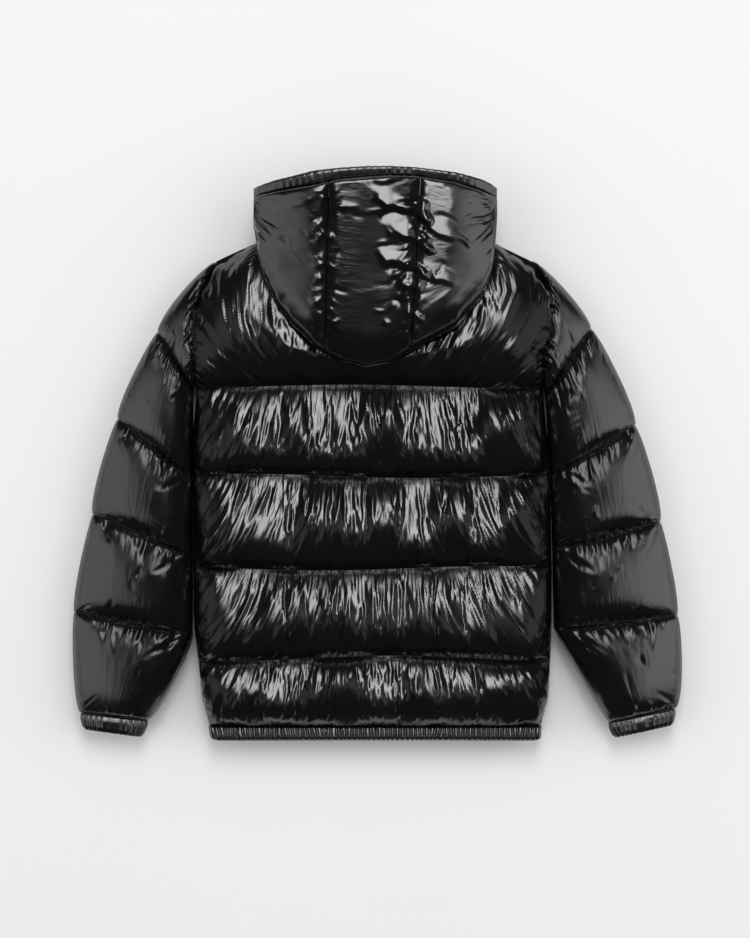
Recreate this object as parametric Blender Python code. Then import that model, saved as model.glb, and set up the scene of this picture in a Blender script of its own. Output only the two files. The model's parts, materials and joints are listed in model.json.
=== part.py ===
"""Hooded puffer jacket, zipped shut and laid flat on its front, back side up.

X runs across the jacket, Y from the hem to the hood, Z up from the surface below.
Tables are in millimetres, from the middle of the hem's lower edge. The last step moves
every piece together, so that the origin is the middle of the jacket's footprint.
"""

import math
from collections import namedtuple

import bmesh
import bpy
from mathutils import Vector

MM = 0.001

# Padding: how thick each layer stands, and the cuts between neighbouring pieces.
MIDDLE = 40.0            # height of the plane where the front and back layers meet
LAYER_GAP = 0.3          # each layer's distance from that plane
SEAM_GAP = 0.3           # half the cut between two pieces sewn end to end
EDGE_GAP = 2.6           # cut between pieces that meet along a curve
BACK_CREST = 42.0        # how far a full body baffle stands above the middle
FRONT_CREST = 48.0       # the same below it, before the floor flattens it
SLEEVE_CREST = 37.0
UNDER_SLEEVE_CREST = 44.0
SEAM_HEIGHT = 0.47       # height left at a quilting seam, as a share of the crest
SIDE_HEIGHT = 0.09       # height left at an outer edge
ARMHOLE_HEIGHT = 0.5     # height left along the armhole seam
ARMHOLE_LOW = 470.0        # levels between which the side edge is an armhole
ARMHOLE_LOW_BLEND = 50.0
ARMHOLE_HIGH = 640.0
ARMHOLE_HIGH_BLEND = 40.0
BODY_ROUND = 62.0        # how far in from its edge the body rounds over
SLEEVE_ROUND = 50.0
HOOD_PRESS = 0.68        # the yoke's height where the hood lies on it

# Levels of the body's quilting seams, and where rows of points stand between two seams.
HEM_TOP = 22.0
BODY_SEAMS = (HEM_TOP, 116.0, 242.0, 371.0, 496.0, 698.0)
BAFFLE_STEPS = (0.0, 0.06, 0.2, 0.5, 0.8, 0.94)

BodyEdge = namedtuple("BodyEdge", "y left right")
BODY_EDGES = (
    BodyEdge(0, -225, 229),
    BodyEdge(3, -230, 232),
    BodyEdge(22, -233, 233),
    BodyEdge(66, -244, 244),
    BodyEdge(116, -248, 246),
    BodyEdge(180, -255, 248),
    BodyEdge(242, -255, 248),
    BodyEdge(371, -255, 245),
    BodyEdge(435, -256, 241),
    BodyEdge(496, -250, 235),
    BodyEdge(572, -251, 237),
    BodyEdge(608, -250, 243),
    BodyEdge(646, -237, 240),
    BodyEdge(673, -223, 220),
    BodyEdge(687, -193, 190),
    BodyEdge(698, -166, 168),
)
ARMHOLE_ROWS = (572.0, 608.0, 646.0, 673.0, 687.0)
NECK_ROWS = (636.0, 637.2, 641.0, 660.0)

# One row for each seam across a sleeve, from the armhole to the cuff. A bulge is how far
# the baffle after that seam swells past the straight line, on the sleeve's two edges.
SleeveSeam = namedtuple("SleeveSeam", "outer_x outer_y inner_x inner_y outer_bulge inner_bulge")
LEFT_SLEEVE = (
    SleeveSeam(-225, 671, -252, 500, 10, 0),
    SleeveSeam(-305, 573, -255, 493, 7, 0),
    SleeveSeam(-361, 451, -256, 372, 7, 0),
    SleeveSeam(-396, 317, -256, 263, 5, 0),
    SleeveSeam(-422, 180, -256, 152, 6, 9),
    SleeveSeam(-414, 39, -318, 29, 0, 0),
)
RIGHT_SLEEVE = (
    SleeveSeam(221, 673, 238, 500, 9, 0),
    SleeveSeam(303, 578, 239, 484, 8, 0),
    SleeveSeam(365, 442, 246, 373, 7, 0),
    SleeveSeam(400, 307, 249, 273, 5, 0),
    SleeveSeam(424, 176, 251, 158, 8, 2),
    SleeveSeam(422, 45, 327, 26, 0, 0),
)
SLEEVE_STEPS = (0.0, 0.1, 0.5, 0.9)
SLEEVE_ACROSS = (0.0, 0.05, 0.15, 0.32, 0.5, 0.68, 0.85, 0.95, 1.0)

# A cuff: the corners of its flattened tube, next to the sleeve and at the wrist opening.
Cuff = namedtuple("Cuff", "outer_x outer_y inner_x inner_y wrist_outer_x wrist_outer_y wrist_inner_x wrist_inner_y")
CUFFS = {
    "left": Cuff(-413, 38, -319, 28, -409, 16, -327, 5),
    "right": Cuff(421, 44, 328, 25, 418, 22, 336, 4),
}
CUFF_THICK = 26.0
CUFF_WALL = 11.5
CUFF_SIDE_WALL = 6.0
HEM_CREST = 17.0

# The hood lies folded down on the back: an upper layer from its fold to its rim, and an
# under layer from the fold back to the neck seam, or nearly to the rim at the sides.
HoodEdge = namedtuple("HoodEdge", "x fold rim_seam rim")
HOOD_EDGES = (
    HoodEdge(-168, 735, 756, 770),
    HoodEdge(-162, 671, 758, 772),
    HoodEdge(-153, 645, 760, 775),
    HoodEdge(-136, 608, 763, 780),
    HoodEdge(-117, 582, 766, 784),
    HoodEdge(-85, 551, 771, 792),
    HoodEdge(-47, 529, 779, 796),
    HoodEdge(-11, 521, 782, 798),
    HoodEdge(21, 526, 784, 798),
    HoodEdge(55, 546, 784, 797),
    HoodEdge(112, 577, 775, 790),
    HoodEdge(148, 620, 764, 781),
    HoodEdge(160, 650, 759, 776),
    HoodEdge(169, 725, 756, 770),
)
HOOD_LEFT_SEAM = ((785, -63), (550, -68))      # (y, x) at the seam's two ends
HOOD_RIGHT_SEAM = ((785, 63), (550, 49))
HOOD_FLOOR = 88.0          # height of the slit between the hood's two layers
HOOD_RIM_DROP = 12.0       # how much lower that slit is at the rim
HOOD_CREST = 34.0
HOOD_SLIT = 2.5
HOOD_NOSE = 5.0
HOOD_UNDER_THICK = 15.0
HOOD_REST_GAP = 6.0
HOOD_ROUND = 48.0
HOOD_DROP_STARTS = 665.0   # the slit sinks from this level on, over the length below
HOOD_DROP_LENGTH = 135.0
HOOD_HALF_WIDTH = 168.0
HOOD_COVER_HALF_WIDTH = 165.0
HOOD_COVER_EDGE = 60.0     # over this length the yoke passes from free to pressed
HOOD_FRONT_ROUND = 16.0
HOOD_FRONT_HEIGHT = 0.45
RIM_GAP = 1.4
NECK_LINE = 690.0

# The front neckline and the low collar that the zip closes.
FRONT_NECK_DROP = 62.0
NECK_HALF_WIDTH = 150.0
COLLAR_TOP = 768.0
COLLAR_HALF_WIDTH = 146.0
COLLAR_LENGTH = 130.0
COLLAR_END_DROP = 22.0
COLLAR_MIDDLE = 20.0
COLLAR_UP = 18.5
COLLAR_DOWN = 24.0

# The zip, in the channel between the two fronts.
ZIP_HALF_CHANNEL = 15.0
ZIP_EDGE_ROUND = 26.0      # how far in from the zip the fronts round over
ZIP_LEVEL = 21.0
TAPE_THICK = 1.2
CHAIN_HALF_WIDTH = 3.2
CHAIN_THICK = 2.6
ZIP_BOTTOM = 4.0
SLIDER_AT = 750.0
SLIDER_LENGTH = 15.0
SLIDER_HALF_WIDTH = 5.5
SLIDER_PLATE = 1.6
SLIDER_CLEAR = 0.5
PIVOT_BELOW_PLATE = 2.4
BAIL_THICK = 1.6
BAIL_INNER = 1.2
BAIL_OUTER = 2.6
PULL_LENGTH = 26.0
PULL_HALF_WIDTH = 4.0
PULL_THICK = 1.6
PULL_BAR = 0.8
PULL_WINDOW_HALF = 1.7
PULL_WINDOW_END = 6.5
PULL_SLOPE = 32.5          # degrees below level at which the pull rests


def mix(low, high, share):
    return low + (high - low) * share


def look_up(rows, key, at, column):
    """Reads a column of a table at a place between its rows."""
    previous = rows[0]
    for row in rows:
        if getattr(row, key) >= at:
            span = getattr(row, key) - getattr(previous, key)
            share = (at - getattr(previous, key)) / span if span else 0.0
            return mix(getattr(previous, column), getattr(row, column), share)
        previous = row
    return getattr(rows[-1], column)


def dome(distance, radius):
    """Quarter-round rise from 0 at an edge to 1 at the radius."""
    share = min(max(distance / radius, 0.0), 1.0)
    return math.sqrt(1.0 - (1.0 - share) ** 2)


def ease(share):
    share = min(max(share, 0.0), 1.0)
    return share * share * (3.0 - 2.0 * share)


def between_seams(share):
    """Height of a baffle at a share of the way from one seam to the next."""
    return mix(SEAM_HEIGHT, 1.0, (4.0 * share * (1.0 - share)) ** 0.5)


def baffle_height(y):
    for low, high in zip(BODY_SEAMS, BODY_SEAMS[1:]):
        if y <= high:
            return between_seams(max(y - low, 0.0) / (high - low))
    return SEAM_HEIGHT


def body_rows(extra_rows):
    rows = []
    for low, high in zip(BODY_SEAMS, BODY_SEAMS[1:]):
        rows += [mix(low, high, step) for step in BAFFLE_STEPS]
    rows = [y for y in rows if min(abs(y - extra) for extra in extra_rows) > 6.0]
    rows += extra_rows
    rows.append(BODY_SEAMS[-1])
    rows.sort()
    rows[0] += SEAM_GAP
    return rows


def edge_height(y):
    """Height left at the body's side: low at the side seam, more along the armhole."""
    along_armhole = ease((y - ARMHOLE_LOW) / ARMHOLE_LOW_BLEND)
    along_armhole *= 1.0 - ease((y - ARMHOLE_HIGH) / ARMHOLE_HIGH_BLEND)
    return mix(SIDE_HEIGHT, ARMHOLE_HEIGHT, along_armhole)


def under_hood(x, y):
    """How far a point of the back lies under the hood, from 0 outside to 1."""
    inside = min(y - look_up(HOOD_EDGES, "x", x, "fold"), HOOD_COVER_HALF_WIDTH - abs(x))
    return ease(inside / HOOD_COVER_EDGE + 0.5)


def back_height(x, y):
    """Height of the back's outer surface above the middle."""
    left = look_up(BODY_EDGES, "y", y, "left")
    right = look_up(BODY_EDGES, "y", y, "right")
    rise = dome(min(x - left, right - x), BODY_ROUND)
    press = mix(1.0, HOOD_PRESS, under_hood(x, y))
    return BACK_CREST * press * baffle_height(y) * mix(edge_height(y), 1.0, rise)


def side_spread(count, low, high, crowd=0.5):
    """Places from low to high that stand closer together at both ends."""
    places = []
    for i in range(count):
        share = i / (count - 1)
        rounded = 0.5 - 0.5 * math.cos(math.pi * share)
        places.append(mix(low, high, mix(share, rounded, crowd)))
    return places


def finish(name, mesh_build, look):
    """Turns a bmesh into a named, shaded object with its faces outward."""
    bmesh.ops.recalc_face_normals(mesh_build, faces=mesh_build.faces)
    mesh = bpy.data.meshes.new(name)
    mesh_build.to_mesh(mesh)
    mesh_build.free()
    mesh.materials.append(look)
    mesh.shade_smooth()
    mesh.set_sharp_from_angle(angle=math.radians(50))
    piece = bpy.data.objects.new(name, mesh)
    bpy.context.scene.collection.objects.link(piece)
    return piece


def loft(name, rings, look, strip_ends=False):
    """Closed solid through rings of equally many points, with flat or stripped ends."""
    build = bmesh.new()
    count = len(rings[0])
    grid = [[build.verts.new(Vector(point) * MM) for point in ring] for ring in rings]
    for ring, following in zip(grid, grid[1:]):
        for j in range(count):
            k = (j + 1) % count
            build.faces.new((ring[j], ring[k], following[k], following[j]))
    for ring in (grid[0], grid[-1]):
        if not strip_ends:
            build.faces.new(ring)
            continue
        for j in range(count // 2 - 1):
            build.faces.new((ring[j], ring[j + 1], ring[-2 - j], ring[-1 - j]))
    return finish(name, build, look)


def layer(name, rows, heights, upward, look, full_inside=False):
    """A padded panel: flat inside at the middle, domed outside, above or below it.

    A layer below the middle is flattened where it would pass through the floor.
    """
    inside = MIDDLE + (LAYER_GAP if upward else -LAYER_GAP)
    rings = []
    for points, lifts in zip(rows, heights):
        if upward:
            outer = [(x, y, inside + lift) for (x, y), lift in zip(points, lifts)]
        else:
            outer = [(x, y, max(inside - lift, 0.0)) for (x, y), lift in zip(points, lifts)]
        kept = points if full_inside else (points[0], points[-1])
        rings.append(outer + [(x, y, inside) for x, y in reversed(kept)])
    return loft(name, rings, look, strip_ends=full_inside)


def make_back(look):
    rows, heights = [], []
    for y in body_rows(ARMHOLE_ROWS):
        left = look_up(BODY_EDGES, "y", y, "left")
        right = look_up(BODY_EDGES, "y", y, "right")
        across = side_spread(21, left, right)
        rows.append([(x, y) for x in across])
        heights.append([back_height(x, y) for x in across])
    return layer("back", rows, heights, True, look)


def neck_inner(y):
    """Half width of the front neck opening at a level, or the zip channel below it."""
    share = (y - (BODY_SEAMS[-1] - FRONT_NECK_DROP)) / FRONT_NECK_DROP
    if share <= 0.0:
        return ZIP_HALF_CHANNEL
    return mix(ZIP_HALF_CHANNEL, NECK_HALF_WIDTH, math.sqrt(1.0 - (1.0 - min(share, 1.0)) ** 2))


def neck_level(x):
    """Height up the jacket of the front neckline at a distance from the zip."""
    share = min(max((abs(x) - ZIP_HALF_CHANNEL) / (NECK_HALF_WIDTH - ZIP_HALF_CHANNEL), 0.0), 1.0)
    return BODY_SEAMS[-1] - FRONT_NECK_DROP * math.sqrt(1.0 - share**2)


def make_front(name, side, look):
    """Left (side -1) or right (side 1) front, cut away at the neck and along the zip."""
    rows, heights = [], []
    column = "left" if side < 0 else "right"
    for y in body_rows(ARMHOLE_ROWS + NECK_ROWS):
        edge = look_up(BODY_EDGES, "y", y, column)
        inner = side * neck_inner(y)
        across = side_spread(12, inner, edge)
        rows.append([(x, y) for x in across])
        lifts = []
        for x in across:
            outer_rise = mix(edge_height(y), 1.0, dome(abs(edge - x), BODY_ROUND))
            zip_rise = mix(SEAM_HEIGHT, 1.0, dome(abs(x - inner), ZIP_EDGE_ROUND))
            lifts.append(FRONT_CREST * baffle_height(y) * outer_rise * zip_rise)
        heights.append(lifts)
    return layer(name, rows, heights, False, look)


def sleeve_plan(table, step, across):
    """A point of a sleeve in plan: step counts seams from the armhole, across is 0 to 1."""
    index = min(int(step), len(table) - 2)
    share = step - index
    here, after = table[index], table[index + 1]
    swell = (4.0 * share * (1.0 - share)) ** 0.6
    side = -1.0 if here.outer_x < 0 else 1.0
    outer = Vector((mix(here.outer_x, after.outer_x, share), mix(here.outer_y, after.outer_y, share)))
    inner = Vector((mix(here.inner_x, after.inner_x, share), mix(here.inner_y, after.inner_y, share)))
    run = Vector((after.outer_x - here.outer_x, after.outer_y - here.outer_y)).normalized()
    outward = Vector((side * -run.y, -abs(run.x) * (-1.0 if side * run.x > 0 else 1.0)))
    outer += outward * here.outer_bulge * swell
    inner.x -= side * here.inner_bulge * swell
    place = outer.lerp(inner, across)
    column = "left" if side < 0 else "right"
    if step < 1.0:
        chord = Vector((table[0].outer_x, table[0].outer_y)).lerp(
            Vector((table[0].inner_x, table[0].inner_y)), across)
        armhole = look_up(BODY_EDGES, "y", chord.y, column) + side * EDGE_GAP
        place.x += (armhole - chord.x) * (1.0 - step) ** 1.5
    if place.y < 560.0:
        edge = look_up(BODY_EDGES, "y", place.y, column) + side * EDGE_GAP
        place.x = min(place.x, edge) if side < 0 else max(place.x, edge)
    return place


def make_sleeve(name, table, upward, look):
    rows, heights = [], []
    crest = SLEEVE_CREST if upward else UNDER_SLEEVE_CREST
    seams = len(table) - 1
    steps = [seam + step for seam in range(seams) for step in SLEEVE_STEPS] + [seams]
    for step in steps:
        share = step - int(step)
        swell = between_seams(share)
        shift = SEAM_GAP if step == seams else 0.0
        points = []
        for across in SLEEVE_ACROSS:
            place = sleeve_plan(table, step, across)
            points.append((place.x, place.y + shift))
        width = math.dist(points[0], points[-1])
        rounding = min(SLEEVE_ROUND, width * 0.42)
        lifts = []
        for across in SLEEVE_ACROSS:
            rise = dome(min(across, 1.0 - across) * width, rounding)
            lifts.append(crest * swell * mix(SIDE_HEIGHT, 1.0, rise))
        rows.append(points)
        heights.append(lifts)
    return layer(name, rows, heights, upward, look, full_inside=True)


def oval(low, high, count):
    """Points round a flattened tube, as shares across (0 to 1) and signed heights."""
    ring = []
    for i in range(count):
        angle = 2.0 * math.pi * i / count
        across = 0.5 - 0.5 * math.copysign(abs(math.cos(angle)) ** 0.5, math.cos(angle))
        height = math.copysign(abs(math.sin(angle)) ** 0.7, math.sin(angle))
        ring.append((mix(low, high, across), height))
    return ring


def make_cuff(name, cuff, look):
    """A flattened ring of gathered cloth: an outer and an inner wall joined at both ends."""
    build = bmesh.new()
    count = 16
    inner_half = CUFF_THICK / 2.0 - CUFF_WALL
    near = (Vector((cuff.outer_x, cuff.outer_y)), Vector((cuff.inner_x, cuff.inner_y)))
    wrist = (
        Vector((cuff.wrist_outer_x, cuff.wrist_outer_y)),
        Vector((cuff.wrist_inner_x, cuff.wrist_inner_y)),
    )
    length = (near[0] - near[1]).length
    trim = CUFF_SIDE_WALL / length
    loops = []
    # Across the outer wall from sleeve to wrist, then back along the inner wall.
    for along, low, high, half in (
        (0.0, 0.0, 1.0, CUFF_THICK / 2.0 - 1.5),
        (0.35, -0.015, 1.015, CUFF_THICK / 2.0),
        (0.75, -0.01, 1.01, CUFF_THICK / 2.0),
        (1.0, 0.02, 0.98, CUFF_THICK / 2.0 - 2.5),
        (1.0, trim, 1.0 - trim, inner_half),
        (0.5, trim, 1.0 - trim, inner_half),
        (0.0, trim, 1.0 - trim, inner_half),
    ):
        start = near[0].lerp(wrist[0], along)
        end = near[1].lerp(wrist[1], along)
        loop = []
        for across, height in oval(low, high, count):
            place = start.lerp(end, across)
            loop.append(build.verts.new(Vector((place.x, place.y, MIDDLE + height * half)) * MM))
        loops.append(loop)
    for loop, following in zip(loops, loops[1:] + loops[:1]):
        for j in range(count):
            k = (j + 1) % count
            build.faces.new((loop[j], loop[k], following[k], following[j]))
    return finish(name, build, look)


def make_hem(name, low, high, upward, look):
    """A gathered strip below the body's last seam, between two sides given as functions."""
    rows, heights = [], []
    for y, lift in ((0.0, 0.35), (3.0, 0.8), (HEM_TOP / 2, 1.0), (HEM_TOP - SEAM_GAP, 0.75)):
        start, end = low(y), high(y)
        across = side_spread(12, start, end)
        rows.append([(x, y) for x in across])
        edges = [dome(min(abs(x - start), abs(end - x)), 12.0) for x in across]
        heights.append([HEM_CREST * lift * mix(0.3, 1.0, edge) for edge in edges])
    return layer(name, rows, heights, upward, look)


def make_hems(look):
    def left(y):
        return look_up(BODY_EDGES, "y", y, "left")

    def right(y):
        return look_up(BODY_EDGES, "y", y, "right")

    def zip_left(_):
        return -ZIP_HALF_CHANNEL

    def zip_right(_):
        return ZIP_HALF_CHANNEL

    return [
        make_hem("hem_back", left, right, True, look),
        make_hem("hem_front_left", left, zip_left, False, look),
        make_hem("hem_front_right", zip_right, right, False, look),
    ]


def hood_floor(y):
    """Height of the slit between the hood's layers, lower towards the rim."""
    return HOOD_FLOOR - HOOD_RIM_DROP * ease((y - HOOD_DROP_STARTS) / HOOD_DROP_LENGTH)


def hood_top(x, y, fold, rim):
    side = dome(min(y - fold, (HOOD_HALF_WIDTH - abs(x)) * 1.2 + 4.0), HOOD_ROUND)
    front = mix(HOOD_FRONT_HEIGHT, 1.0, dome(rim - y, HOOD_FRONT_ROUND))
    return hood_floor(y) + HOOD_SLIT + HOOD_NOSE + HOOD_CREST * side * front


def hood_under(x, y):
    """Height of the hood's underside, which rests on the back."""
    lowest = hood_floor(y) - HOOD_UNDER_THICK
    if y > BODY_SEAMS[-1]:
        return lowest
    return max(MIDDLE + back_height(x, y) + HOOD_REST_GAP, lowest)


def seam_x(seam, y):
    (top_y, top_x), (low_y, low_x) = seam
    return mix(low_x, top_x, (y - low_y) / (top_y - low_y))


def hood_ring(column_x):
    """Section through both layers of the hood along one near-straight line in plan."""
    fold = look_up(HOOD_EDGES, "x", column_x(550.0), "fold")
    rim = look_up(HOOD_EDGES, "x", column_x(785.0), "rim_seam") - SEAM_GAP
    neck = min(max(NECK_LINE, fold + 25.0), rim - 6.0)
    inner_fold = fold + min(12.0, (neck - fold) * 0.5)
    ring = []
    for share in (0.0, 0.06, 0.2, 0.38, 0.56, 0.74, 0.87, 0.95, 1.0):
        y = mix(rim, fold, share)
        x = column_x(y)
        ring.append((x, y, hood_top(x, y, fold, rim)))
    for share in (0.03, 0.2, 0.5, 0.8, 1.0):
        y = mix(fold, neck, share)
        x = column_x(y)
        ring.append((x, y, hood_under(x, y)))
    for share in (1.0, 0.66, 0.33, 0.0):
        y = mix(inner_fold, neck, share)
        ring.append((column_x(y), y, hood_floor(y)))
    for share in (0.0, 0.25, 0.5, 0.75, 1.0):
        y = mix(inner_fold, rim, share)
        ring.append((column_x(y), y, hood_floor(y) + HOOD_SLIT))
    return ring


def make_hood_panel(name, low, high, shares, look):
    """One of the hood's three panels, between two lines given as functions of y."""
    rings = []
    for share in shares:
        rings.append(hood_ring(lambda y, share=share: mix(low(y), high(y), share)))
    return loft(name, rings, look)


def make_hood(look):
    def outer_left(_):
        return HOOD_EDGES[0].x

    def outer_right(_):
        return HOOD_EDGES[-1].x

    def at_left(offset):
        return lambda y: seam_x(HOOD_LEFT_SEAM, y) + offset

    def at_right(offset):
        return lambda y: seam_x(HOOD_RIGHT_SEAM, y) + offset

    side_steps = (0.0, 0.1, 0.3, 0.5, 0.7, 0.86, 0.95, 1.0)
    return [
        make_hood_panel("hood_left", at_left(-SEAM_GAP), outer_left, side_steps, look),
        make_hood_panel("hood_center", at_left(SEAM_GAP), at_right(-SEAM_GAP),
                        (0.0, 0.12, 0.35, 0.65, 0.88, 1.0), look),
        make_hood_panel("hood_right", at_right(SEAM_GAP), outer_right, side_steps, look),
    ]


def make_hood_rim(look):
    """The narrow casing round the hood's opening, along its upper edge."""
    rings = []
    for x in side_spread(13, HOOD_EDGES[0].x, HOOD_EDGES[-1].x, 0.6):
        low = look_up(HOOD_EDGES, "x", x, "rim_seam") + RIM_GAP
        high = look_up(HOOD_EDGES, "x", x, "rim")
        base = hood_floor(low)
        rings.append([
            (x, low, base - 4.0),
            (x, low, base + 15.0),
            (x, mix(low, high, 0.35), base + 19.0),
            (x, mix(low, high, 0.75), base + 16.0),
            (x, high, base + 7.0),
            (x, high, base + 1.0),
            (x, mix(low, high, 0.7), base - 6.0),
        ])
    return loft("hood_rim", rings, look)


def make_collar(name, side, look):
    """One half of the low collar under the hood, from the front neckline upwards."""
    rings = []
    for share in (0.0, 0.08, 0.3, 0.55, 0.8, 0.94, 1.0):
        x = side * mix(ZIP_HALF_CHANNEL, COLLAR_HALF_WIDTH, share)
        low = neck_level(x) + EDGE_GAP
        high = mix(COLLAR_TOP, COLLAR_TOP - COLLAR_END_DROP, share**2)
        outer_rise = mix(0.4, 1.0, dome((1.0 - share) * COLLAR_LENGTH, 30.0))
        zip_rise = mix(0.5, 1.0, dome(share * COLLAR_LENGTH, 18.0))
        ring = []
        for along, lift in ((0.0, 0.5), (0.12, 0.9), (0.5, 1.0), (0.88, 0.85), (1.0, 0.3)):
            y = mix(low, high, along)
            ring.append((x, y, COLLAR_MIDDLE + COLLAR_UP * lift * outer_rise))
        for along, lift in ((1.0, 0.3), (0.88, 0.85), (0.5, 1.0), (0.12, 0.9), (0.0, 0.5)):
            y = mix(low, high, along)
            drop = COLLAR_DOWN * lift * outer_rise * zip_rise
            ring.append((x, y, max(COLLAR_MIDDLE - drop, 0.0)))
        rings.append(ring)
    return loft(name, rings, look)


def add_box(build, low, high):
    """Adds one closed box, in millimetres, to a bmesh."""
    corners = [
        build.verts.new(Vector((x, y, z)) * MM)
        for x in (low[0], high[0]) for y in (low[1], high[1]) for z in (low[2], high[2])
    ]
    for face in ((0, 1, 3, 2), (4, 6, 7, 5), (0, 4, 5, 1), (2, 3, 7, 6), (0, 2, 6, 4), (1, 5, 7, 3)):
        build.faces.new([corners[i] for i in face])


def make_bar(name, low, high, look):
    build = bmesh.new()
    add_box(build, low, high)
    return finish(name, build, look)


def outline_solid(name, outline, low, high, place, look):
    """Extrudes a flat outline between two distances; place turns (a, b, depth) into a point."""
    build = bmesh.new()
    for depth in (low, high):
        ring = [build.verts.new(Vector(place(a, b, depth)) * MM) for a, b in outline]
        if depth == low:
            first = ring
    count = len(outline)
    build.faces.new(first)
    build.faces.new(ring)
    for j in range(count):
        k = (j + 1) % count
        build.faces.new((first[j], first[k], ring[k], ring[j]))
    return finish(name, build, look)


def joined(base, extra):
    """Unites helper solids with a piece and hides the helpers."""
    for helper in extra:
        helper.hide_render = True
        helper.display_type = "WIRE"
        helper.hide_viewport = True
        union = base.modifiers.new("join_" + helper.name, "BOOLEAN")
        union.operation = "UNION"
        union.object = helper
    return base


def pivot_level():
    plate_low = ZIP_LEVEL - CHAIN_THICK / 2 - SLIDER_CLEAR - SLIDER_PLATE
    return plate_low - PIVOT_BELOW_PLATE


def make_slider(look):
    """Two plates round the zip's chain, joined past its end, with a bail below."""
    half = CHAIN_THICK / 2 + SLIDER_CLEAR
    near, far = SLIDER_AT, SLIDER_AT + SLIDER_LENGTH
    post = far - 4.0
    plates = (
        (near, ZIP_LEVEL - half - SLIDER_PLATE), (far, ZIP_LEVEL - half - SLIDER_PLATE),
        (far, ZIP_LEVEL + half + SLIDER_PLATE), (near, ZIP_LEVEL + half + SLIDER_PLATE),
        (near, ZIP_LEVEL + half), (post, ZIP_LEVEL + half),
        (post, ZIP_LEVEL - half), (near, ZIP_LEVEL - half),
    )
    slider = outline_solid(
        "zip_slider", plates, -SLIDER_HALF_WIDTH, SLIDER_HALF_WIDTH,
        lambda a, b, depth: (depth, a, b), look)
    middle = SLIDER_AT + SLIDER_LENGTH / 2
    level = pivot_level()
    plate = level + PIVOT_BELOW_PLATE
    inside = [
        (middle + BAIL_INNER * math.cos(turn), level + BAIL_INNER * math.sin(turn))
        for turn in (math.radians(-180 + 30 * i) for i in range(7))
    ]
    outside = [
        (middle + BAIL_OUTER * math.cos(turn), level + BAIL_OUTER * math.sin(turn))
        for turn in (math.radians(-30 * i) for i in range(7))
    ]
    arch = [(middle - BAIL_INNER, plate + 0.6)] + inside + [(middle + BAIL_INNER, plate + 0.6)]
    arch += [(middle + BAIL_OUTER, plate + 0.6)] + outside + [(middle - BAIL_OUTER, plate + 0.6)]
    bail = outline_solid(
        "slider_bail", arch, -BAIL_THICK / 2, BAIL_THICK / 2,
        lambda a, b, depth: (depth, a, b), look)
    return joined(slider, [bail])


def make_pull(look):
    """The pull tab: a plate with a window whose round top bar turns in the bail.

    Its origin is on the bar's axis. Unturned, it points along -Y from there.
    """
    half = PULL_THICK / 2
    frame = bmesh.new()
    rows = (
        (0.0, PULL_HALF_WIDTH - 0.6), (PULL_WINDOW_END, PULL_HALF_WIDTH),
        (PULL_LENGTH - 3.0, PULL_HALF_WIDTH - 0.4), (PULL_LENGTH, PULL_HALF_WIDTH - 2.2),
    )
    outline = [(-width, -run) for run, width in rows] + [(width, -run) for run, width in reversed(rows)]
    window = [
        (PULL_WINDOW_HALF, 0.0), (PULL_WINDOW_HALF, -PULL_WINDOW_END),
        (-PULL_WINDOW_HALF, -PULL_WINDOW_END), (-PULL_WINDOW_HALF, 0.0),
    ]
    rings = []
    for level in (-half, half):
        rings.append([frame.verts.new(Vector((x, y, level)) * MM) for x, y in outline + window])
    count = len(rings[0])
    frame.faces.new(rings[0])
    frame.faces.new(rings[1])
    for j in range(count):
        k = (j + 1) % count
        frame.faces.new((rings[0][j], rings[0][k], rings[1][k], rings[1][j]))
    pull = finish("zip_pull", frame, look)
    bar = [
        (PULL_BAR * math.cos(turn), PULL_BAR * math.sin(turn))
        for turn in (math.radians(30 * i + 15) for i in range(12))
    ]
    reach = PULL_HALF_WIDTH - 0.7
    top_bar = outline_solid(
        "pull_bar", bar, -reach, reach, lambda a, b, depth: (depth, a, b), look)
    joined(pull, [top_bar])
    for piece in (pull, top_bar):
        piece.location = Vector((0.0, SLIDER_AT + SLIDER_LENGTH / 2, pivot_level())) * MM
        piece.rotation_euler = (math.radians(PULL_SLOPE), 0.0, 0.0)
    return pull


def make_zip(tape_look, tooth_look, metal_look):
    """Tapes and closed chain between the fronts, with the slider at the top."""
    half = TAPE_THICK / 2
    chain_end = SLIDER_AT + SLIDER_LENGTH - 4.5
    top = chain_end - 1.0
    inner, outer = CHAIN_HALF_WIDTH + SEAM_GAP, ZIP_HALF_CHANNEL - SEAM_GAP
    pieces = [
        make_bar("zip_tape_left", (-outer, ZIP_BOTTOM, ZIP_LEVEL - half),
                 (-inner, SLIDER_AT - 0.5, ZIP_LEVEL + half), tape_look),
        make_bar("zip_tape_right", (inner, ZIP_BOTTOM, ZIP_LEVEL - half),
                 (outer, SLIDER_AT - 0.5, ZIP_LEVEL + half), tape_look),
        make_bar("zip_chain", (-CHAIN_HALF_WIDTH, ZIP_BOTTOM, ZIP_LEVEL - CHAIN_THICK / 2),
                 (CHAIN_HALF_WIDTH, top, ZIP_LEVEL + CHAIN_THICK / 2), tooth_look),
    ]
    pieces.append(make_slider(metal_look))
    pieces.append(make_pull(metal_look))
    return pieces


def make_look(name, colour, roughness, metallic=0.0):
    look = bpy.data.materials.new(name)
    look.use_nodes = True
    shader = look.node_tree.nodes["Principled BSDF"]
    shader.inputs["Base Color"].default_value = (*colour, 1.0)
    shader.inputs["Roughness"].default_value = roughness
    shader.inputs["Metallic"].default_value = metallic
    return look


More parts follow.
